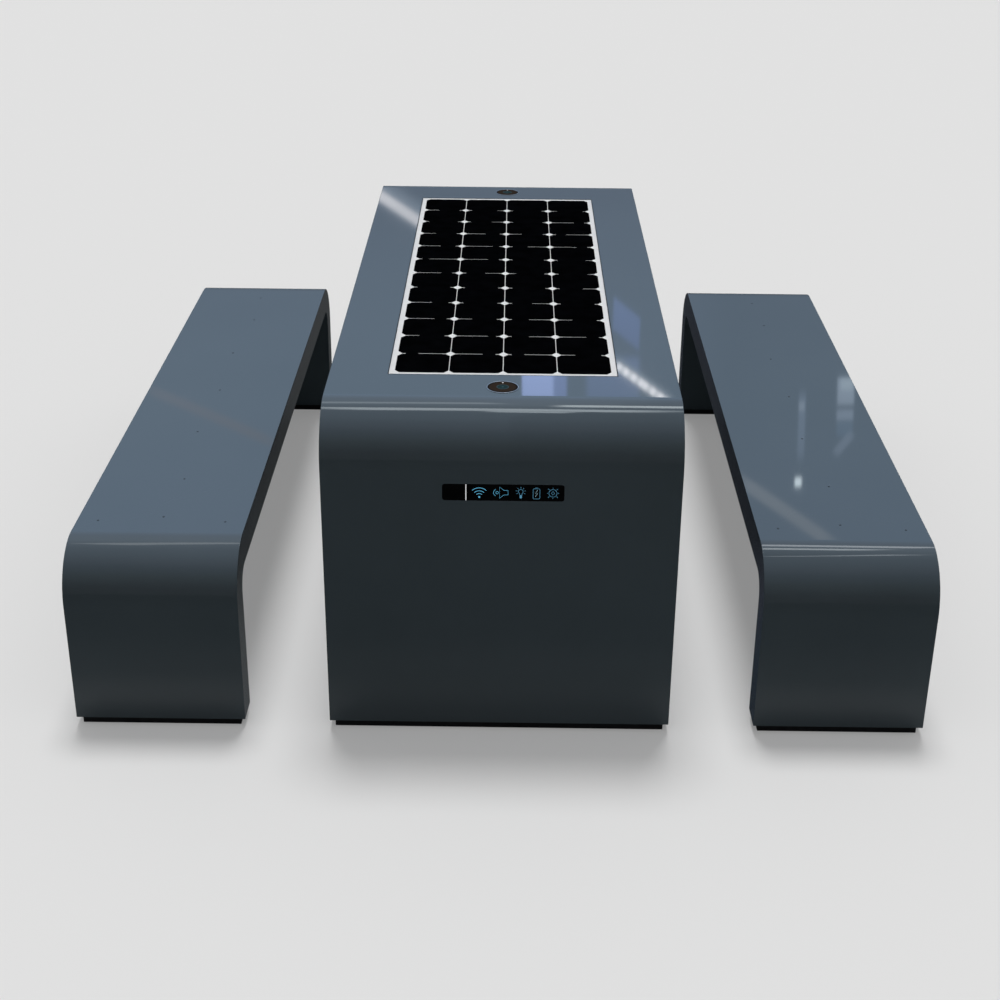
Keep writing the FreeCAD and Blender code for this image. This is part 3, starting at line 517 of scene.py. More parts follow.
def buildTable(size):
    arches = slabArches(size)
    half, top, width = size["half"], size["top"], size["halfWidth"]
    skin, rimEnd = sheetSizes["skin"], width - sheetSizes["rimMargin"]
    deep, through = 3 * skin, 4 * skin      # the cutters reach past both faces of the sheets
    shell = archSheet("tableTopShell", arches[0], arches[1], -width, width, arches[0])
    cutter = bmesh.new()
    x, y = size["opening"]
    addBlock(cutter, (-x, -y, top - through), (x, y, top + skin))
    (left, right), (bottom, upper) = size["strip"]["x"], size["strip"]["z"]
    addBlock(cutter, (left, -half - skin, bottom), (right, deep - half, upper), size["strip"]["corner"])
    pads = size["pads"]
    for side in (-1, 1):
        addTurned(cutter, drumProfile(pads["radius"], through), (0, side * pads["y"], top - 2 * skin), steps=72)
    cutAway(shell, cutter)
    roundRims(shell, lambda p: abs(p.x) < rimEnd and (
        abs(p.z - top) < 1e-5 or (abs(p.y + half) < 1e-5 and p.z > size["slab"])), sheetSizes["cutRound"])
    finishPiece(shell, replaces="table_shell")

    lining = archSheet("tableLiningSheet", arches[2], arches[3], -width, width, arches[3])
    cutter = bmesh.new()
    (left, right), (bottom, upper) = size["door"]["x"], size["door"]["z"]
    addBlock(cutter, (left, innerFace - deep, bottom), (right, innerFace + skin, upper), size["door"]["corner"])
    speaker = size["speaker"]
    addTurned(cutter, drumProfile(speaker["radius"], through), (0, innerFace + skin, speaker["z"]), "-y", 72)
    cutAway(lining, cutter)
    roundRims(lining, lambda p: abs(p.x) < rimEnd and abs(p.y - innerFace) < 1e-5 and p.z > 2 * sheetSizes["base"],
              sheetSizes["cutRound"])
    finishPiece(lining, replaces="table_lining")

    for side, start in (("left", -width), ("right", width - skin)):
        plate = archSheet(f"tableSidePlate.{side}", arches[1], arches[2], start, start + skin)
        finishPiece(plate, replaces="table_sides")


benchSizes = inMetres({
    "half": 1025, "top": 450, "slab": 77, "bend": 130, "innerBend": 53, "halfWidth": 200, "middle": 800,
})


def buildBench(name, side, size):
    arches = slabArches(size)
    middle, skin = side * size["middle"], sheetSizes["skin"]
    left, right = middle - size["halfWidth"], middle + size["halfWidth"]
    seat = archSheet(f"{name}BenchShell", arches[0], arches[1], left, right, arches[0])
    finishPiece(seat, replaces=f"{name}_bench_shell")
    lining = archSheet(f"{name}BenchLining", arches[2], arches[3], left, right, arches[3])
    finishPiece(lining, replaces=f"{name}_bench_lining")
    for end, start in (("inner", left), ("outer", right - skin)):
        plate = archSheet(f"{name}BenchSidePlate.{end}", arches[1], arches[2], start, start + skin)
        finishPiece(plate, replaces=f"{name}_bench_sides")


# Small dark screws hold the seat to the ribs under it: a zigzag row, and two at the corners of the near end
seatScrewSizes = inMetres({
    "screw": (2.8, 0.5), "pitch": 300, "zigzag": 10, "endMiddle": 816, "endCorner": (150, 839),
})


def buildSeatScrews(name, side, bench, size):
    cornerX, cornerY = size["endCorner"]
    places = [(0, -size["endMiddle"]), (0, size["endMiddle"]), (-cornerX, -cornerY), (cornerX, -cornerY)]
    for step, sideways in ((-2, 1), (-1, -1), (0, 0), (1, -1), (2, 1)):
        places.append((sideways * size["zigzag"], step * size["pitch"]))
    bm = bmesh.new()
    for x, y in places:
        addScrew(bm, (side * bench["middle"] + x, y, bench["top"]), "+z", *size["screw"])
    addPiece(f"{name}SeatScrews", bm, "black_plastic", material=blackScrew)


buildTable(tableSizes)
for name, side in (("left", -1), ("right", 1)):
    buildBench(name, side, benchSizes)
    buildSeatScrews(name, side, benchSizes, seatScrewSizes)
print("table and benches bent")


# Solar panel. Glass lifts what lies under it to the eye, so the cells lie close below its face.
# Black ribbons join the cells across most of each gap between rows, and a bead of sealant closes the joint
# between glass and steel

panelSizes = inMetres({
    "glass": 0.52, "glassRim": 0.15, "air": 0.03, "cellThick": 0.15, "ribbonThick": 0.12,
    "cell": (124, 123.6), "pitch": (125.6, 126.3), "corner": (10.5, 14),
    "shortArm": 18, "longArms": (28, 44, 54, 63, 75, 86), "bead": 1.5, "beadHeight": 0.2,
})
ribbonChoice = {"longShare": 0.66, "cover": 0.36, "seed": 11}


def buildPanel(size, ribbon):
    backLow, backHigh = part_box("panel_backsheet")
    low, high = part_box("panel_cells")
    glassLow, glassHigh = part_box("panel_glass")
    glassBottom = glassHigh.z - size["glass"]
    cellTop = glassBottom - size["air"]
    backTop = cellTop - size["cellThick"]
    bm = bmesh.new()
    addBlock(bm, backLow, (backHigh.x, backHigh.y, backTop))
    addPiece("panelBacksheet", bm, replaces="panel_backsheet")

    (cellX, cellY), (pitchX, pitchY), (cornerX, cornerY) = size["cell"], size["pitch"], size["corner"]
    columns, rows = round((high.x - low.x) / pitchX), round((high.y - low.y) / pitchY)
    shortArm, ribbonTop = size["shortArm"], backTop + size["ribbonThick"]
    choice = random.Random(ribbon["seed"])
    cells, ribbons = bmesh.new(), bmesh.new()
    for row in range(rows):
        near = (row - rows / 2) * pitchY + (pitchY - cellY) / 2
        for column in range(columns):
            left = (column - columns / 2) * pitchX + (pitchX - cellX) / 2
            right, far = left + cellX, near + cellY
            outline = [(left + cornerX, near), (right - cornerX, near), (right, near + cornerY), (right, far - cornerY),
                       (right - cornerX, far), (left + cornerX, far), (left, far - cornerY), (left, near + cornerY)]
            addPrism(cells, outline, backTop, cellTop)
            if row == 0:
                continue
            arms = [shortArm, shortArm]
            if choice.random() < ribbon["longShare"]:
                arms[choice.randrange(2)] = choice.choice(size["longArms"])
            gapNear = near - pitchY + cellY
            gapMiddle = gapNear + (near - gapNear) * ribbon["cover"]
            addBlock(ribbons, (left + shortArm, gapNear, backTop), (right - shortArm, gapMiddle, ribbonTop))
            addBlock(ribbons, (left + arms[0], gapMiddle, backTop), (right - arms[1], near, ribbonTop))
    addPiece("panelCells", cells, replaces="panel_cells")
    addPiece("cellRibbons", ribbons, "solar_cell")
    bm = bmesh.new()
    addBlock(bm, (glassLow.x, glassLow.y, glassBottom), glassHigh, soft=size["glassRim"])
    addPiece("panelGlass", bm, replaces="panel_glass")

    x, y = tableSizes["opening"]
    width, beadTop = size["bead"], glassHigh.z + size["beadHeight"]
    bm = bmesh.new()
    for low, high in (((-x, -y), (width - x, y)), ((-x, -y), (x, width - y)),
                      ((x - width, -y), (x, y)), ((-x, y - width), (x, y))):
        addBlock(bm, (*low, glassBottom), (*high, beadTop))
    addPiece("glazingBead", bm, "black_rubber")


boxCoverSizes = inMetres({
    "height": 4, "inset": 3, "corner": 5, "soft": 0.8, "screwInset": 9, "screw": (2.6, 1.2), "gland": (6, 10, 1),
})


def buildJunctionCover(size):
    low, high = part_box("panel_junction_box")
    inset, bottom = size["inset"], low.z - size["height"]
    bm = bmesh.new()
    addBlock(bm, (low.x + inset, low.y + inset, bottom), (high.x - inset, high.y - inset, low.z),
             size["corner"], "z", soft=size["soft"])
    for x, y in cornersOf(low, high, size["screwInset"], "y"):
        addScrew(bm, (x, y, bottom), "-z", *size["screw"])
    for x in (low.x / 2, high.x / 2):
        addTurned(bm, drumProfile(*size["gland"]), (x, low.y, (low.z + high.z) / 2), "-y", 24)
    addPiece("junctionCover", bm, "black_plastic")


# Wireless charging pads in both ends of the top: a disc with a painted shadow of the ring as a dark band round its
# edge, a metal ring and a glow in the middle

padSizes = inMetres({
    "disc": (34, 1.0, 0.4), "edgeWidth": 3.6, "ring": (34.2, 36.8, 1.2, 0.9),
    "glow": 12.5, "haloWidth": 1.3, "dot": 2.2, "signal": 1.9, "signalPlace": 25.7, "ink": 0.05,
})


def buildPads(table, size):
    disc, discHeight, discSoft = size["disc"]
    inner, outer, height, soft = size["ring"]
    glow, ink = size["glow"], size["ink"]
    ringProfile = [
        (inner, 0), (outer, 0), (outer, 0.4 * height), (outer - soft / 3, 0.8 * height), (outer - soft, height),
        (inner + soft, height), (inner + soft / 3, 0.8 * height), (inner, 0.4 * height),
    ]
    discs, edges, rings, teal, halo, signals = (bmesh.new() for _ in range(6))
    for side in (-1, 1):
        middle = Vector((0, side * table["pads"]["y"], table["top"]))
        surface = middle + Vector((0, 0, discHeight))
        signalPlace = surface + Vector((0, size["signalPlace"], 0))
        addTurned(discs, drumProfile(*size["disc"]), middle, steps=96)
        addTurned(rings, ringProfile, middle, steps=128, ring=True)
        # A dark band round the edge of the disc, painted as the shadow of the ring
        addTurned(edges, washerProfile(disc - size["edgeWidth"], disc - discSoft, ink), surface, steps=96, ring=True)
        addTurned(teal, drumProfile(glow, ink), surface, steps=64)
        addTurned(halo, washerProfile(glow, glow + size["haloWidth"], ink), surface, steps=64, ring=True)
        addTurned(halo, drumProfile(size["dot"], 2 * ink), surface, steps=24)
        addTurned(signals, drumProfile(size["signal"], 3 * ink), signalPlace, steps=24)
    addPiece("chargingDiscs", discs, replaces="charger_discs")
    addPiece("chargingRings", rings, replaces="charger_rings")
    for name, bm, material in (("chargingRingShadows", edges, ringShadowPaint), ("chargingGlow", teal, padTeal),
                               ("chargingHalo", halo, padHalo), ("chargingSignals", signals, stripWhite)):
        addPiece(name, bm, "charger_disc", material=material)


buildPanel(panelSizes, ribbonChoice)
buildJunctionCover(boxCoverSizes)
buildPads(tableSizes, padSizes)
print("panel and charging pads fitted")


# Indicator strip with its row of plain signs

stripSizes = inMetres({
    "stroke": 1.0, "wideStroke": 1.5, "ink": 0.05, "edge": 0.3, "corner": 5.8,
    "divider": (-79, -77), "dot": (-48.5, -11, 2.3),
    "socket": {"x": (40.7, 45.7), "z": (-13.2, -5.2), "corner": 2.2},
})


# The two ends of a ray that points away from (0, z)
def rayPoints(z, turn, start, end):
    angle = math.radians(turn)
    return [(radius * math.cos(angle), z + radius * math.sin(angle)) for radius in (start, end)]


# In millimetres: each sign's x on the strip, and its lines through points (x, z) and arcs (x, z, radius, start,
# end, steps) from there
stripSigns = {
    "network": (-48.5, [("open", (0, -11, radius, 45, 135, 20)) for radius in (8.4, 15.0, 22.2)]),
    "sound": (0.0, [
        ("closed", (-3.6, 13.3), (5.9, 5.5), (14.8, 6.0), (15.2, -5.0), (5.9, -5.5), (-3.6, -13.5)),
        ("closed", (-9.1, 0, 2.8, 0, 342, 19)), ("open", (-8.7, 0, 8.4, 116, 244, 20)),
    ]),
    "lamp": (43.2, [
        ("open", (-2.4, -5.6), (0, 3.2, 5.2, 235, -55, 20), (2.4, -5.6)),
        *(("open", *rayPoints(3.2, turn, 7.7, 11.0)) for turn in range(-30, 211, 40)),
    ]),
    "battery": (77.8, [
        ("closed", (4.5, -11.2, 3, -90, 0, 5), (4.5, 7.5, 3, 0, 90, 5), (-4.5, 7.5, 3, 90, 180, 5),
         (-4.5, -11.2, 3, 180, 270, 5)),
        ("open", (-2.8, 12.6), (2.8, 12.6)),
    ]),
    "bolt": (77.8, [("open", (2.6, 7.2), (-3.0, -1.4), (2.6, -0.6), (-2.6, -9.0))]),
    "sun": (114.1, [
        ("closed", (0, 0, 9.0, 0, 350, 35)), ("closed", (0, 4.4), (3.6, 0), (0, -4.4), (-3.6, 0)),
        *(("open", *rayPoints(0, turn, 11.0, 15.4 if turn % 90 else 13.0)) for turn in range(0, 360, 45)),
    ]),
}


def arcPoints(x, z, radius, start, end, steps):
    angles = [math.radians(start + (end - start) * step / steps) for step in range(steps + 1)]
    return [(x + radius * math.cos(angle), z + radius * math.sin(angle)) for angle in angles]


def signLines(names):
    lines = []
    for x, shapes in (stripSigns[name] for name in names):
        for kind, *parts in shapes:
            points = [point for part in parts for point in ([part] if len(part) == 2 else arcPoints(*part))]
            lines.append(([((x + px) * mm, pz * mm) for px, pz in points], kind == "closed"))
    return lines


# Draws signs as one flat ink layer on the front of the strip
def inkSigns(name, names, width, place, material, extra=None):
    curve = bpy.data.curves.new(name, "CURVE")
    curve.dimensions = "3D"
    curve.bevel_depth = width / 2
    curve.bevel_resolution = 1
    curve.use_fill_caps = True
    for points, closed in signLines(names):
        spline = curve.splines.new("POLY")
        spline.points.add(len(points) - 1)
        for point, (x, z) in zip(spline.points, points):
            point.co = (x, 0, z, 1)
        spline.use_cyclic_u = closed
    pen = bpy.data.objects.new(name, curve)
    bpy.context.scene.collection.objects.link(pen)
    bpy.context.view_layer.update()
    drawn = bpy.data.meshes.new_from_object(pen.evaluated_get(bpy.context.evaluated_depsgraph_get()))
    bpy.data.objects.remove(pen)
    bm = bmesh.new()
    bm.from_mesh(drawn)
    if extra is not None:
        addMesh(bm, extra)
    bmesh.ops.scale(bm, vec=(1, stripSizes["ink"] / width, 1), verts=bm.verts)
    bmesh.ops.translate(bm, vec=place, verts=bm.verts)
    addPiece(name, bm, "display_gloss", material=material)


def buildStrip(size):
    low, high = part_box("display_window")
    ink, edge = size["ink"], size["edge"]
    bm = bmesh.new()
    addBlock(bm, low, high, size["corner"], soft=edge)
    addPiece("stripWindow", bm, replaces="display_window")

    place = (0, low.y, (low.z + high.z) / 2)
    stroke, wide = size["stroke"], size["wideStroke"]
    dot, socket = bmesh.new(), bmesh.new()
    x, z, radius = size["dot"]
    addTurned(dot, drumProfile(radius, wide), (x, wide / 2, z), "-y", 24)
    (left, right), (bottom, top) = size["socket"]["x"], size["socket"]["z"]
    addBlock(socket, (left, -stroke / 2, bottom), (right, stroke / 2, top), size["socket"]["corner"], steps=5)
    inkSigns("stripNetwork", ["network"], wide, place, iconBlue, dot)
    inkSigns("stripSound", ["sound"], stroke, place, iconBlue)
    inkSigns("stripSigns", ["lamp", "battery", "sun"], stroke, place, iconFaint, socket)
    inkSigns("stripBolt", ["bolt"], stroke, place, iconPale)

    bm = bmesh.new()
    left, right = size["divider"]
    addBlock(bm, (left, low.y - ink, low.z + edge), (right, low.y + ink, high.z - edge))
    addPiece("stripDivider", bm, "display_gloss", material=stripWhite)


buildStrip(stripSizes)
print("indicator strip drawn")


# Service door, hinges, lock, speaker and lamp on the inner faces

fastenerSizes = inMetres({
    "leafScrew": (3, 1.3), "leafInset": 10, "leafThick": 2, "leafEdge": 9, "leafLength": 60,
    "pinHead": (4.2, 2, 0.8), "grilleScrew": (2.5, 1.2), "grilleInset": 9,
})


def buildFasteners(size):
    inset, edge, length = size["leafInset"], size["leafEdge"], size["leafLength"]
    for nodeName, name in (("frame_hinge_leaves", "frameHingeScrews"), ("door_hinge_leaves", "doorHingeScrews")):
        low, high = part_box(nodeName)
        x = low.x + edge if nodeName == "frame_hinge_leaves" else high.x - edge
        bm = bmesh.new()
        for bottom, top in ((low.z, low.z + length), (high.z - length, high.z)):
            for z in (bottom + inset, (bottom + top) / 2, top - inset):
                addScrew(bm, (x, innerFace + size["leafThick"], z), "+y", *size["leafScrew"])
        addPiece(name, bm, "hinge_steel", body=bodyOf[nodeName], material=screwSteel)

    low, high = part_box("hinge_pins")
    x, y = (low.x + high.x) / 2, (low.y + high.y) / 2
    bm = bmesh.new()
    for z, axis in ((low.z + length, "+z"), (high.z, "+z"), (low.z, "-z"), (high.z - length, "-z")):
        addTurned(bm, drumProfile(*size["pinHead"]), (x, y, z), axis, 32)
    addPiece("hingePinHeads", bm, "hinge_steel")

    low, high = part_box("speaker_grille")
    bm = bmesh.new()
    for x, z in cornersOf(low, high, size["grilleInset"], "z"):
        addScrew(bm, (x, high.y, z), "+y", *size["grilleScrew"])
    addPiece("grilleScrews", bm, "black_plastic", material=blackScrew)


# A ribbed paper cone and its dust cap, seen through the slots of the grille
coneSizes = inMetres({
    "rim": 41, "throat": 13, "depth": 16, "wall": 1, "behind": 6, "surround": 8, "surroundHeight": 2.5, "cap": 6,
})
coneCurve = {"bend": (0.5, 0.42), "surroundSteps": 6, "capTurns": (0, 20, 40, 60, 75)}


def buildSpeakerCone(size, curve):
    low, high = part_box("speaker")
    middle = (low + high) / 2
    place = (middle.x, high.y - size["behind"], middle.z)
    throat, depth, wall, steps = size["throat"], size["depth"], size["wall"], curve["surroundSteps"]
    width, edge = size["surround"], size["rim"] - size["surround"]
    surround = [(edge + width * step / steps, size["surroundHeight"] * math.sin(math.pi * step / steps))
                for step in range(steps + 1)]
    along, below = curve["bend"]
    face = [(throat, -depth), (throat + (edge - throat) * along, -depth * below)] + surround
    back = [(radius, height - wall) for radius, height in reversed(face)]
    bm = bmesh.new()
    addTurned(bm, face + back, place, "+y", 64, ring=True)
    turns = [math.radians(turn) for turn in curve["capTurns"]]
    cap = [(throat * math.cos(turn), size["cap"] * math.sin(turn) - depth) for turn in turns]
    cap += [(0, size["cap"] - depth), (0, -depth - wall), (throat, -depth - wall)]
    addTurned(bm, cap, place, "+y", 48)
    addPiece("speakerCone", bm, "black_plastic", material=pulpCone)


lampSizes = inMetres({"capLength": 6, "capGrip": 2, "capLap": 1, "corner": 1.5, "soft": 0.5})


def buildLampEnds(size):
    low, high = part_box("lamp_channel")
    lap, grip, length = size["capLap"], size["capGrip"], size["capLength"]
    bm = bmesh.new()
    for start, end in ((low.y - length, low.y + grip), (high.y - grip, high.y + length)):
        addBlock(bm, (low.x - lap, start, low.z - lap), (high.x + lap, end, high.z),
                 size["corner"], steps=4, soft=size["soft"])
    addPiece("lampEndCaps", bm, "black_plastic")


# How far the edges of the other nodes are rounded
softWidths = inMetres({
    "door_panel": 0.5, "door_frame": 0.5, "door_hinge_leaves": 0.4, "frame_hinge_leaves": 0.4,
    "lock_housing": 0.4, "lock_core": 0.2, "lock_cam": 0.4,
    "battery": 4, "battery_shelf": 0.4, "battery_strap": 0.4, "equipment_plate": 0.4, "charge_controller": 0.5,
    "wifi_router": 2.5, "audio_amplifier": 1.2, "fuse_block": 1.2, "panel_junction_box": 1.5,
    "charger_bodies": 0.6, "charger_nuts": 0.4, "speaker_grille": 0.5, "lamp_channel": 0.3,
    "table_feet": 1.5, "left_bench_feet": 1.5, "right_bench_feet": 1.5,
})

buildFasteners(fastenerSizes)
buildSpeakerCone(coneSizes, coneCurve)
buildLampEnds(lampSizes)
for nodeName, width in softWidths.items():
    softenNode(nodeName, width)
print("door side fitted")


# Bought units behind the door. Their fronts face it, at the high end of y, and their details start just inside

rootDepth = 1 * mm
batterySizes = inMetres({
    "post": (9, 12, 1.5), "nut": (4.95, 16, 1), "postInset": 32,
    "lidDrop": 22, "lidHeight": 2.5, "lidProud": 0.7, "lidInset": 3, "lidSoft": 0.3,
    "ribHalf": 2.5, "ribPitch": 24, "ribProud": 1.2, "ribCorner": 2, "ribSoft": 0.4,
    "bottomMargin": 10, "margin": 8, "sideMargin": 30,
})


def buildBattery(size):
    low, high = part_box("battery")
    middle = (low + high) / 2
    inset = size["postInset"]
    for name, x, material in (("batteryTerminalRed", low.x + inset, redPlastic),
                              ("batteryTerminalBlack", high.x - inset, slotMaterials["black_plastic"])):
        bm = bmesh.new()
        addTurned(bm, drumProfile(*size["post"]), (x, middle.y, high.z), steps=32)
        addTurned(bm, drumProfile(*size["nut"]), (x, middle.y, high.z), steps=6)
        addPiece(name, bm, "black_plastic", material=material)
    lidTop, root, inset = high.z - size["lidDrop"], high.y - rootDepth, size["lidInset"]
    bm = bmesh.new()
    addBlock(bm, (low.x + inset, root, lidTop - size["lidHeight"]), (high.x - inset, high.y + size["lidProud"], lidTop),
             soft=size["lidSoft"])
    strapLow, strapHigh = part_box("battery_strap")
    half, margin = size["ribHalf"], size["margin"]
    gaps = int((high.x - low.x - size["sideMargin"]) / size["ribPitch"])
    for bottom, top in ((low.z + size["bottomMargin"], strapLow.z - margin), (strapHigh.z + margin, lidTop - margin)):
        for step in range(gaps + 1):
            x = middle.x + (step - gaps / 2) * size["ribPitch"]
            addBlock(bm, (x - half, root, bottom), (x + half, high.y + size["ribProud"], top),
                     size["ribCorner"], steps=4, soft=size["ribSoft"])
    addPiece("batteryCaseRibs", bm, "battery_case")


# Slots are (half width, height, pitch, how far they stand proud, corner radius)
routerSizes = inMetres({
    "slot": (1, 30, 5, 0.8, 0.9), "slotDrop": 12, "aerialInset": 12, "aerial": ((3.4, 9, 1), (2.6, 34, 2)),
    "signals": ((30, 14), (40, 14), (50, 14), (60, 14)),
})
routerSlots = 9


def buildRouter(size):
    low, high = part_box("wifi_router")
    middle, top = (low + high) / 2, high.z - size["slotDrop"]
    half, height, pitch, proud, corner = size["slot"]
    bm = bmesh.new()
    for step in range(routerSlots):
        x = middle.x + (step - (routerSlots - 1) / 2) * pitch
        addBlock(bm, (x - half, high.y - rootDepth, top - height), (x + half, high.y + proud, top), corner, steps=3)
    for x in (low.x + size["aerialInset"], high.x - size["aerialInset"]):
        for stage in size["aerial"]:
            addTurned(bm, drumProfile(*stage), (x, middle.y, high.z), steps=24)
    addPiece("routerDetails", bm, "black_plastic")


controllerSizes = inMetres({"gland": (4.5, 10, 1), "inset": 15, "depth": 12, "gap": 0.1})


def buildControllerGlands(size):
    low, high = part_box("charge_controller")
    bm = bmesh.new()
    for x in (low.x + size["inset"], high.x - size["inset"]):
        addTurned(bm, drumProfile(*size["gland"]), (x, low.y + size["depth"], low.z - size["gap"]), "-z", 24)
    addPiece("controllerGlands", bm, "black_plastic")


# Slots are (left margin, right margin, bottom margin, pitch, height, corner radius)
amplifierSizes = inMetres({
    "knob": (6.5, 6, 1), "knobPlace": (16, 18), "mark": (0.5, 5.5), "screw": (2, 1), "screwInset": 5,
    "slot": (8, 30, 12, 5, 2, 0.9), "signalHeight": 12,
})
amplifierSlots = 5


def buildAmplifier(size):
    low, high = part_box("audio_amplifier")
    x, z = high.x - size["knobPlace"][0], high.z - size["knobPlace"][1]
    knobTop = high.y + size["knob"][1]
    half, length = size["mark"]
    bm = bmesh.new()
    addTurned(bm, drumProfile(*size["knob"]), (x, high.y, z), "+y", 36)
    addBlock(bm, (x - half, knobTop, z), (x + half, knobTop + half, z + length))
    for x, z in cornersOf(low, high, size["screwInset"], "z"):
        addScrew(bm, (x, high.y, z), "+y", *size["screw"])
    left, right, bottom, pitch, height, corner = size["slot"]
    for step in range(amplifierSlots):
        z = low.z + bottom + step * pitch
        addBlock(bm, (low.x + left, high.y - rootDepth, z), (high.x - right, high.y + rootDepth, z + height),
                 corner, steps=3)
    addPiece("amplifierDetails", bm, "black_plastic")


signalShape = inMetres((1.5, 0.5))


def buildSignals(router, amplifier):
    low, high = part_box("wifi_router")
    green = [(low.x + x, high.y, low.z + z) for x, z in router["signals"]]
    low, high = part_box("audio_amplifier")
    amber = [(high.x - amplifier["knobPlace"][0], high.y, low.z + amplifier["signalHeight"])]
    for name, places, material in (("unitLightsGreen", green, signalGreen), ("unitLightsAmber", amber, signalAmber)):
        bm = bmesh.new()
        for place in places:
            addTurned(bm, drumProfile(*signalShape), place, "+y", 20)
        addPiece(name, bm, "black_plastic", material=material)


fuseSizes = inMetres({"half": (2.5, 7.5), "height": 6, "pitch": 11, "soft": 0.7})


def buildFuses(size):
    low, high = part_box("fuse_block")
    middle = (low + high) / 2
    colours = (redPlastic, bluePlastic, amberPlastic, redPlastic, bluePlastic)
    halfWidth, halfLength = size["half"]
    for step, material in enumerate(colours):
        x = middle.x + (step - (len(colours) - 1) / 2) * size["pitch"]
        bm = bmesh.new()
        addBlock(bm, (x - halfWidth, high.y - rootDepth, middle.z - halfLength),
                 (x + halfWidth, high.y + size["height"], middle.z + halfLength), soft=size["soft"])
        addPiece(f"bladeFuse.{step + 1}", bm, "black_plastic", material=material)


buildBattery(batterySizes)
buildRouter(routerSizes)
buildControllerGlands(controllerSizes)
buildAmplifier(amplifierSizes)
buildSignals(routerSizes, amplifierSizes)
buildFuses(fuseSizes)
print("units fitted")


# Floor, light and camera

roomSizes = {
    "floorRadius": 60.0, "floorColour": (0.755, 0.755, 0.755, 1), "floorSeen": (0.58, 0.58, 0.58, 1), "floorGlow": 0.19,
    "backdrop": (0.753, 0.753, 0.753, 1), "skyLevel": (0.42, 0.42, 0.42, 1),
    "keyLevel": 0.58, "keyTilt": 17.0, "keySpread": 18.0,
    "dimFrom": 5.0, "dimTo": 8.5, "dimLevel": 0.86,
}

# The floor as the gloss sees it, left and right of its middle, by metres along the table. These tones are painted light
# in the reflections: a bright band just in front of the table, and darker, bluer tones on the right
floorReach = (-2.0, 0.0)
floorReflectionPaintLeft = [
    (-1.7, (0.062, 0.066, 0.069)), (-1.46, (0.09, 0.094, 0.097)), (-1.27, (0.25, 0.26, 0.265)),
    (-1.14, (0.62, 0.63, 0.64)), (-1.03, (0.55, 0.56, 0.58)), (-0.98, (0.22, 0.23, 0.24)),
    (-0.66, (0.15, 0.158, 0.162)), (-0.2, (0.075, 0.079, 0.082)),
]
floorReflectionPaintRight = [
    (-1.7, (0.060, 0.064, 0.067)), (-1.46, (0.085, 0.089, 0.093)), (-1.27, (0.24, 0.25, 0.255)),
    (-1.14, (0.60, 0.61, 0.62)), (-1.03, (0.50, 0.52, 0.55)), (-0.98, (0.045, 0.057, 0.08)),
    (-0.66, (0.04, 0.055, 0.078)), (-0.3, (0.06, 0.066, 0.09)), (0.0, (0.035, 0.039, 0.05)),
]


def buildFloor(size):
    bm = bmesh.new()
    bmesh.ops.create_circle(bm, cap_ends=True, segments=96, radius=size["floorRadius"])
    floor = newObject("floor", bm)
    material = newMaterial("paleFloor", {"Roughness": 0.9, "Specular IOR Level": 0.0})
    rays = addNode(material, "LightPath").outputs
    point = addNode(material, "SeparateXYZ", {"Vector": objectPoint(material)}).outputs
    start, end = floorReach
    along = mapRange(material, point["Y"], start, end)
    left, right = (
        rampOf(material, [((y - start) / (end - start), colour) for y, colour in tones], along)
        for tones in (floorReflectionPaintLeft, floorReflectionPaintRight)
    )
    # Painted reflections: glossy rays see these placed tones instead of the floor's own shade
    paintedReflectionTone = mixColours(material, mapRange(material, point["X"], -0.1, 0.1), left, right)
    tone = mixColours(material, rays["Is Glossy Ray"], size["floorColour"], paintedReflectionTone)
    feed(material, {
        "Base Color": mixColours(material, rays["Is Camera Ray"], tone, size["floorSeen"]),
        "Emission Strength": mapRange(material, rays["Is Camera Ray"], 0, 1, 0, size["floorGlow"]),
    })
    floor.data.materials.append(material)


# What the gloss sees behind the table and in front of it, by the sine of the height above the horizon
glossLift = 4.0      # the picture is stored this much darker, because ramps hold no more than 1
glossBehind = [
    (0.0, (0.24, 0.32, 0.42)), (0.255, (0.335, 0.437, 0.595)), (0.37, (0.61, 0.84, 1.13)), (0.454, (0.80, 1.10, 1.52)),
    (0.67, (1.07, 1.35, 1.75)), (0.85, (1.48, 1.85, 2.3)), (1.0, (1.18, 1.5, 1.9)),
]
glossBefore = [
    (0.0, (0.17, 0.18, 0.19)), (0.24, (0.18, 0.19, 0.22)), (0.57, (0.39, 0.48, 0.55)), (0.81, (0.62, 0.79, 1.01)),
    (0.904, (0.87, 1.07, 1.37)), (0.976, (1.0, 1.28, 1.62)), (1.0, (1.18, 1.5, 1.9)),
]

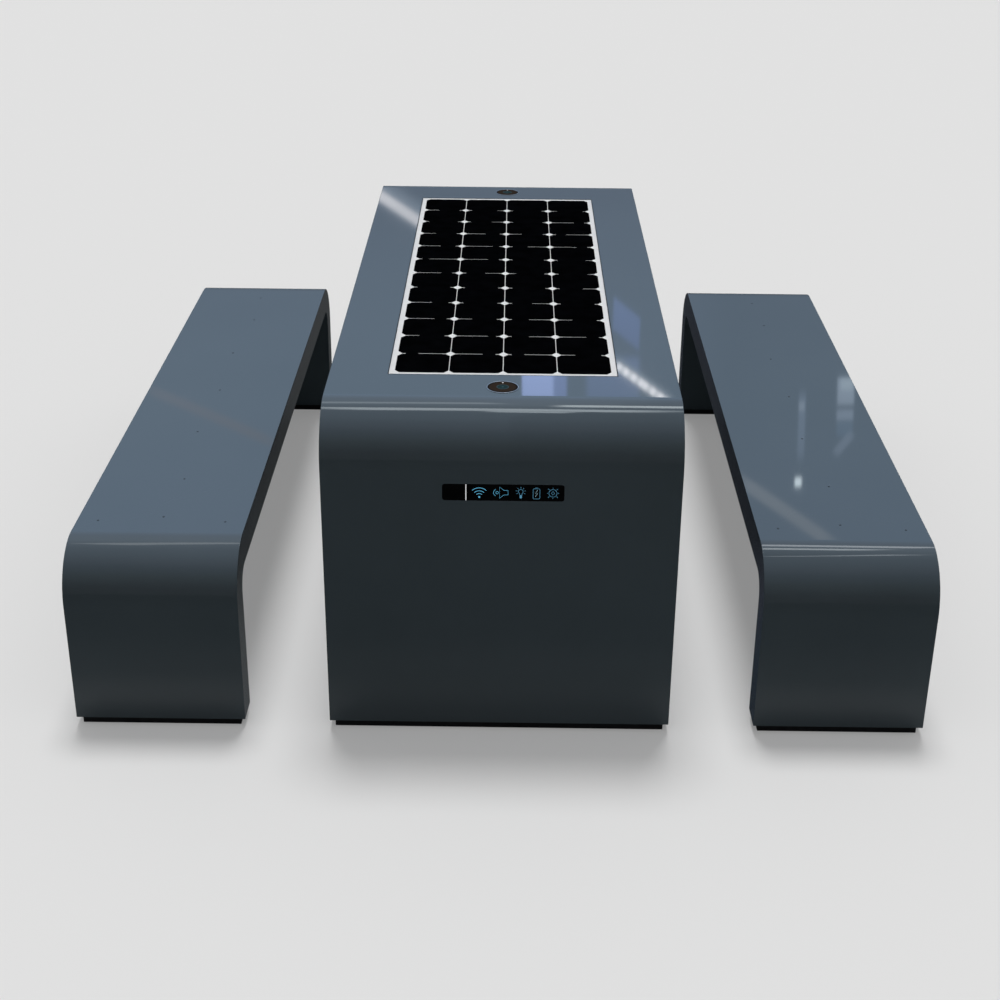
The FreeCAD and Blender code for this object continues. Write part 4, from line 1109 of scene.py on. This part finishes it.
# Strip lights and windows: azimuth and height of the middle, length, width and tilt in degrees, colour,
# softness of the ends and of the sides
glossCards = {
    "windowLeft": (1.08, 21.13, 1.3, 1.5, -1.3, (1.65, 2.17, 3.7), 0.06, 0.3),
    "windowEdge": (1.85, 21.12, 0.5, 1.5, -1.6, (0.97, 1.33, 2.33), 0.3, 0.3),
    "windowMiddle": (3.81, 21.07, 1.95, 1.5, -2.5, (0.74, 1.03, 1.62), 0.15, 0.3),
    "windowRight": (4.22, 19.14, 1.0, 1.1, 0.0, (0.66, 0.92, 1.55), 0.1, 0.12),
    "farGlow": (-3.98, 15.16, 3.4, 0.72, 33.0, (0.62, 0.78, 1.0), 0.3, 0.75),
    "tubeFar": (-4.02, 15.31, 3.4, 0.34, 33.0, (2.22, 2.26, 2.42), 0.3, 0.55),
    "nearGlow": (4.92, 21.14, 2.6, 0.42, 31.5, (0.88, 1.18, 1.52), 0.2, 0.45),
    "tubeNear": (4.94, 21.21, 2.4, 0.25, 31.5, (5.5, 5.6, 5.9), 0.15, 0.4),
    "tubeRight": (10.58, 25.25, 4.2, 0.42, 27.2, (1.12, 1.33, 1.6), 0.3, 0.4),
    "tubeLeft": (-11.1, 22.16, 4.9, 0.33, 25.3, (0.76, 0.90, 1.13), 0.3, 0.4),
    "bar": (10.85, 22.31, 0.25, 2.15, -3.8, (0.8, 1.07, 1.46), 0.3, 0.3),
    "barTop": (10.79, 21.62, 0.2, 0.3, -5.8, (1.15, 1.45, 1.85), 0.4, 0.4),
    "paneUpper": (12.31, 20.98, 0.6, 0.92, -5.4, (1.25, 1.57, 2.0), 0.15, 0.15),
    "paneTop": (12.33, 20.74, 0.45, 0.4, -5.4, (1.6, 2.0, 2.4), 0.3, 0.4),
    "paneMiddle": (12.37, 21.79, 0.6, 0.36, -5.5, (1.08, 1.38, 1.81), 0.15, 0.3),
    "paneFade": (12.41, 22.25, 0.58, 0.51, -6.5, (0.62, 0.89, 1.25), 0.15, 0.3),
    "paneLow": (12.43, 22.77, 0.9, 0.28, 126.1, (0.86, 1.12, 1.5), 0.3, 0.35),
    "spot": (10.92, 24.21, 0.25, 0.31, -3.9, (4.7, 5.5, 6.0), 0.3, 0.3),
    "lowLeft": (-8.0, 55.4, 15.0, 4.6, -14.0, (2.8, 3.3, 3.8), 0.15, 0.35),
    "lowRight": (8.2, 59.3, 9.6, 6.0, -3.0, (6.7, 7.5, 8.0), 0.2, 0.35),
    "high": (-2.8, 72.2, 40.0, 6.3, -1.6, (6.0, 6.8, 7.4), 0.25, 0.35),
    "highEcho": (3.2, 77.2, 13.0, 3.6, 2.0, (5.8, 6.6, 7.2), 0.3, 0.35),
    "farLeft": (-28.8, 64.7, 20.0, 3.3, -14.8, (3.2, 3.6, 4.0), 0.2, 0.35),
    "farRightLow": (17.8, 49.6, 10.0, 5.2, 0.0, (4.6, 5.0, 5.5), 0.15, 0.3),
    "farRightMiddle": (20.6, 59.2, 8.0, 4.6, -11.5, (5.6, 6.2, 6.7), 0.35, 0.35),
    "farRightHigh": (43.7, 73.2, 13.0, 2.6, 49.5, (4.4, 4.9, 5.4), 0.2, 0.35),
}
glossBeads = {"tubeNear": (7.0, 0.6)}      # a row of lamps: beads along the tube, and their level in between
glossSlants = {"windowRight": -0.7}        # top and bottom edges that fall to one side


# How far a card covers the picture: 1 well inside it, falling to 0 past its soft edges
def cardCover(world, name, azimuth, height, card):
    x, y, length, width, tilt, _, endSoft, sideSoft = card
    if name in glossSlants:
        height = calculate(world, "MULTIPLY_ADD", azimuth, glossSlants[name], height)
        y += x * glossSlants[name]
    local = addNode(world, "Mapping", {
        "Vector": addNode(world, "CombineXYZ", {"X": azimuth, "Y": height}),
        "Location": (math.radians(x), math.radians(y), 0), "Rotation": (0, 0, math.radians(tilt)),
        "Scale": (math.radians(length / 2), math.radians(width / 2), 1),
    }, vector_type="TEXTURE")
    away = addNode(world, "VectorMath", {0: local}, operation="ABSOLUTE")
    sides = addNode(world, "SeparateXYZ", {"Vector": away}).outputs
    along = mapRange(world, sides["X"], 1 + endSoft, 1 - endSoft, kind="SMOOTHSTEP")
    across = mapRange(world, sides["Y"], 1 + sideSoft, 1 - sideSoft, kind="SMOOTHSTEP")
    cover = calculate(world, "MULTIPLY", along, across)
    if name in glossBeads:
        turns, dark = glossBeads[name]
        wave = calculate(world, "SINE", calculate(world, "MULTIPLY", sides["X"], math.pi * turns))
        cover = calculate(world, "MULTIPLY", cover, mapRange(world, wave, -1, 1, dark, 1))
    return cover


def buildWorld(size):
    world = bpy.data.worlds.new("studio")
    world.use_nodes = True
    bpy.context.scene.world = world
    plain = world.node_tree.nodes["Background"]
    plain.inputs["Color"].default_value = size["skyLevel"]
    view = addNode(world, "TexCoord").outputs["Generated"]
    way = addNode(world, "SeparateXYZ", {"Vector": view}).outputs
    before, behind = (rampOf(world, tones, way["Z"], 1 / glossLift) for tones in (glossBefore, glossBehind))
    picture = mixColours(world, mapRange(world, way["Y"], -0.25, 0.25), before, behind)
    azimuth = calculate(world, "ARCTAN2", way["X"], way["Y"])
    height = calculate(world, "ARCSINE", way["Z"])
    shade = mapRange(world, azimuth, math.radians(size["dimFrom"]), math.radians(size["dimTo"]),
                     1, size["dimLevel"], "SMOOTHSTEP")
    picture = addNode(world, "VectorMath", {0: picture, "Scale": shade}, operation="SCALE")
    for name, card in glossCards.items():
        colour = (*[c / glossLift for c in card[5]], 1)
        picture = mixColours(world, cardCover(world, name, azimuth, height, card), picture, colour)

    gloss = addNode(world, "Background", {"Color": picture, "Strength": glossLift})
    pale = addNode(world, "Background", {"Color": size["backdrop"], "Strength": 1.0})
    rays = addNode(world, "LightPath").outputs
    lit = addNode(world, "MixShader", {0: rays["Is Glossy Ray"], 1: plain, 2: gloss})
    seen = addNode(world, "MixShader", {0: rays["Is Camera Ray"], 1: lit, 2: pale})
    connect(world, seen, world.node_tree.nodes["World Output"].inputs["Surface"])


# One broad key light, high and a little behind, for the diffuse light and the shadows only
def buildKeyLight(size):
    light = bpy.data.lights.new("keyLight", "SUN")
    light.energy = size["keyLevel"] * math.pi
    light.angle = math.radians(size["keySpread"])
    lamp = bpy.data.objects.new("keyLight", light)
    bpy.context.scene.collection.objects.link(lamp)
    lamp.matrix_world = Matrix.Rotation(math.radians(-size["keyTilt"]), 4, "X") @ Matrix.Translation((0, 0, 5))
    lamp.visible_camera = False
    lamp.visible_glossy = False


cameraSizes = {
    "place": inMetres((17.08, -4308.6, 2159.62)), "yaw": -0.458, "pitch": 25.782, "roll": -0.5,
    "focal": 1644.88, "middle": (496.9, 512.27), "frame": 1000.0,      # in pixels
}


def buildCamera(size):
    data = bpy.data.cameras.new("camera")
    frameSize, (middleX, middleY) = size["frame"], size["middle"]
    data.sensor_width = 36.0
    data.lens = size["focal"] * data.sensor_width / frameSize
    data.shift_x = (frameSize / 2 - middleX) / frameSize
    data.shift_y = (middleY - frameSize / 2) / frameSize
    camera = bpy.data.objects.new("camera", data)
    bpy.context.scene.collection.objects.link(camera)
    camera.matrix_world = (
        Matrix.Translation(size["place"])
        @ Matrix.Rotation(math.radians(-size["yaw"]), 4, "Z")
        @ Matrix.Rotation(math.radians(90 - size["pitch"]), 4, "X")
        @ Matrix.Rotation(math.radians(-size["roll"]), 4, "Z")
    )
    bpy.context.scene.camera = camera


buildFloor(roomSizes)
buildWorld(roomSizes)
buildKeyLight(roomSizes)
buildCamera(cameraSizes)
bpy.context.scene.view_settings.view_transform = "Standard"
print("stage set")
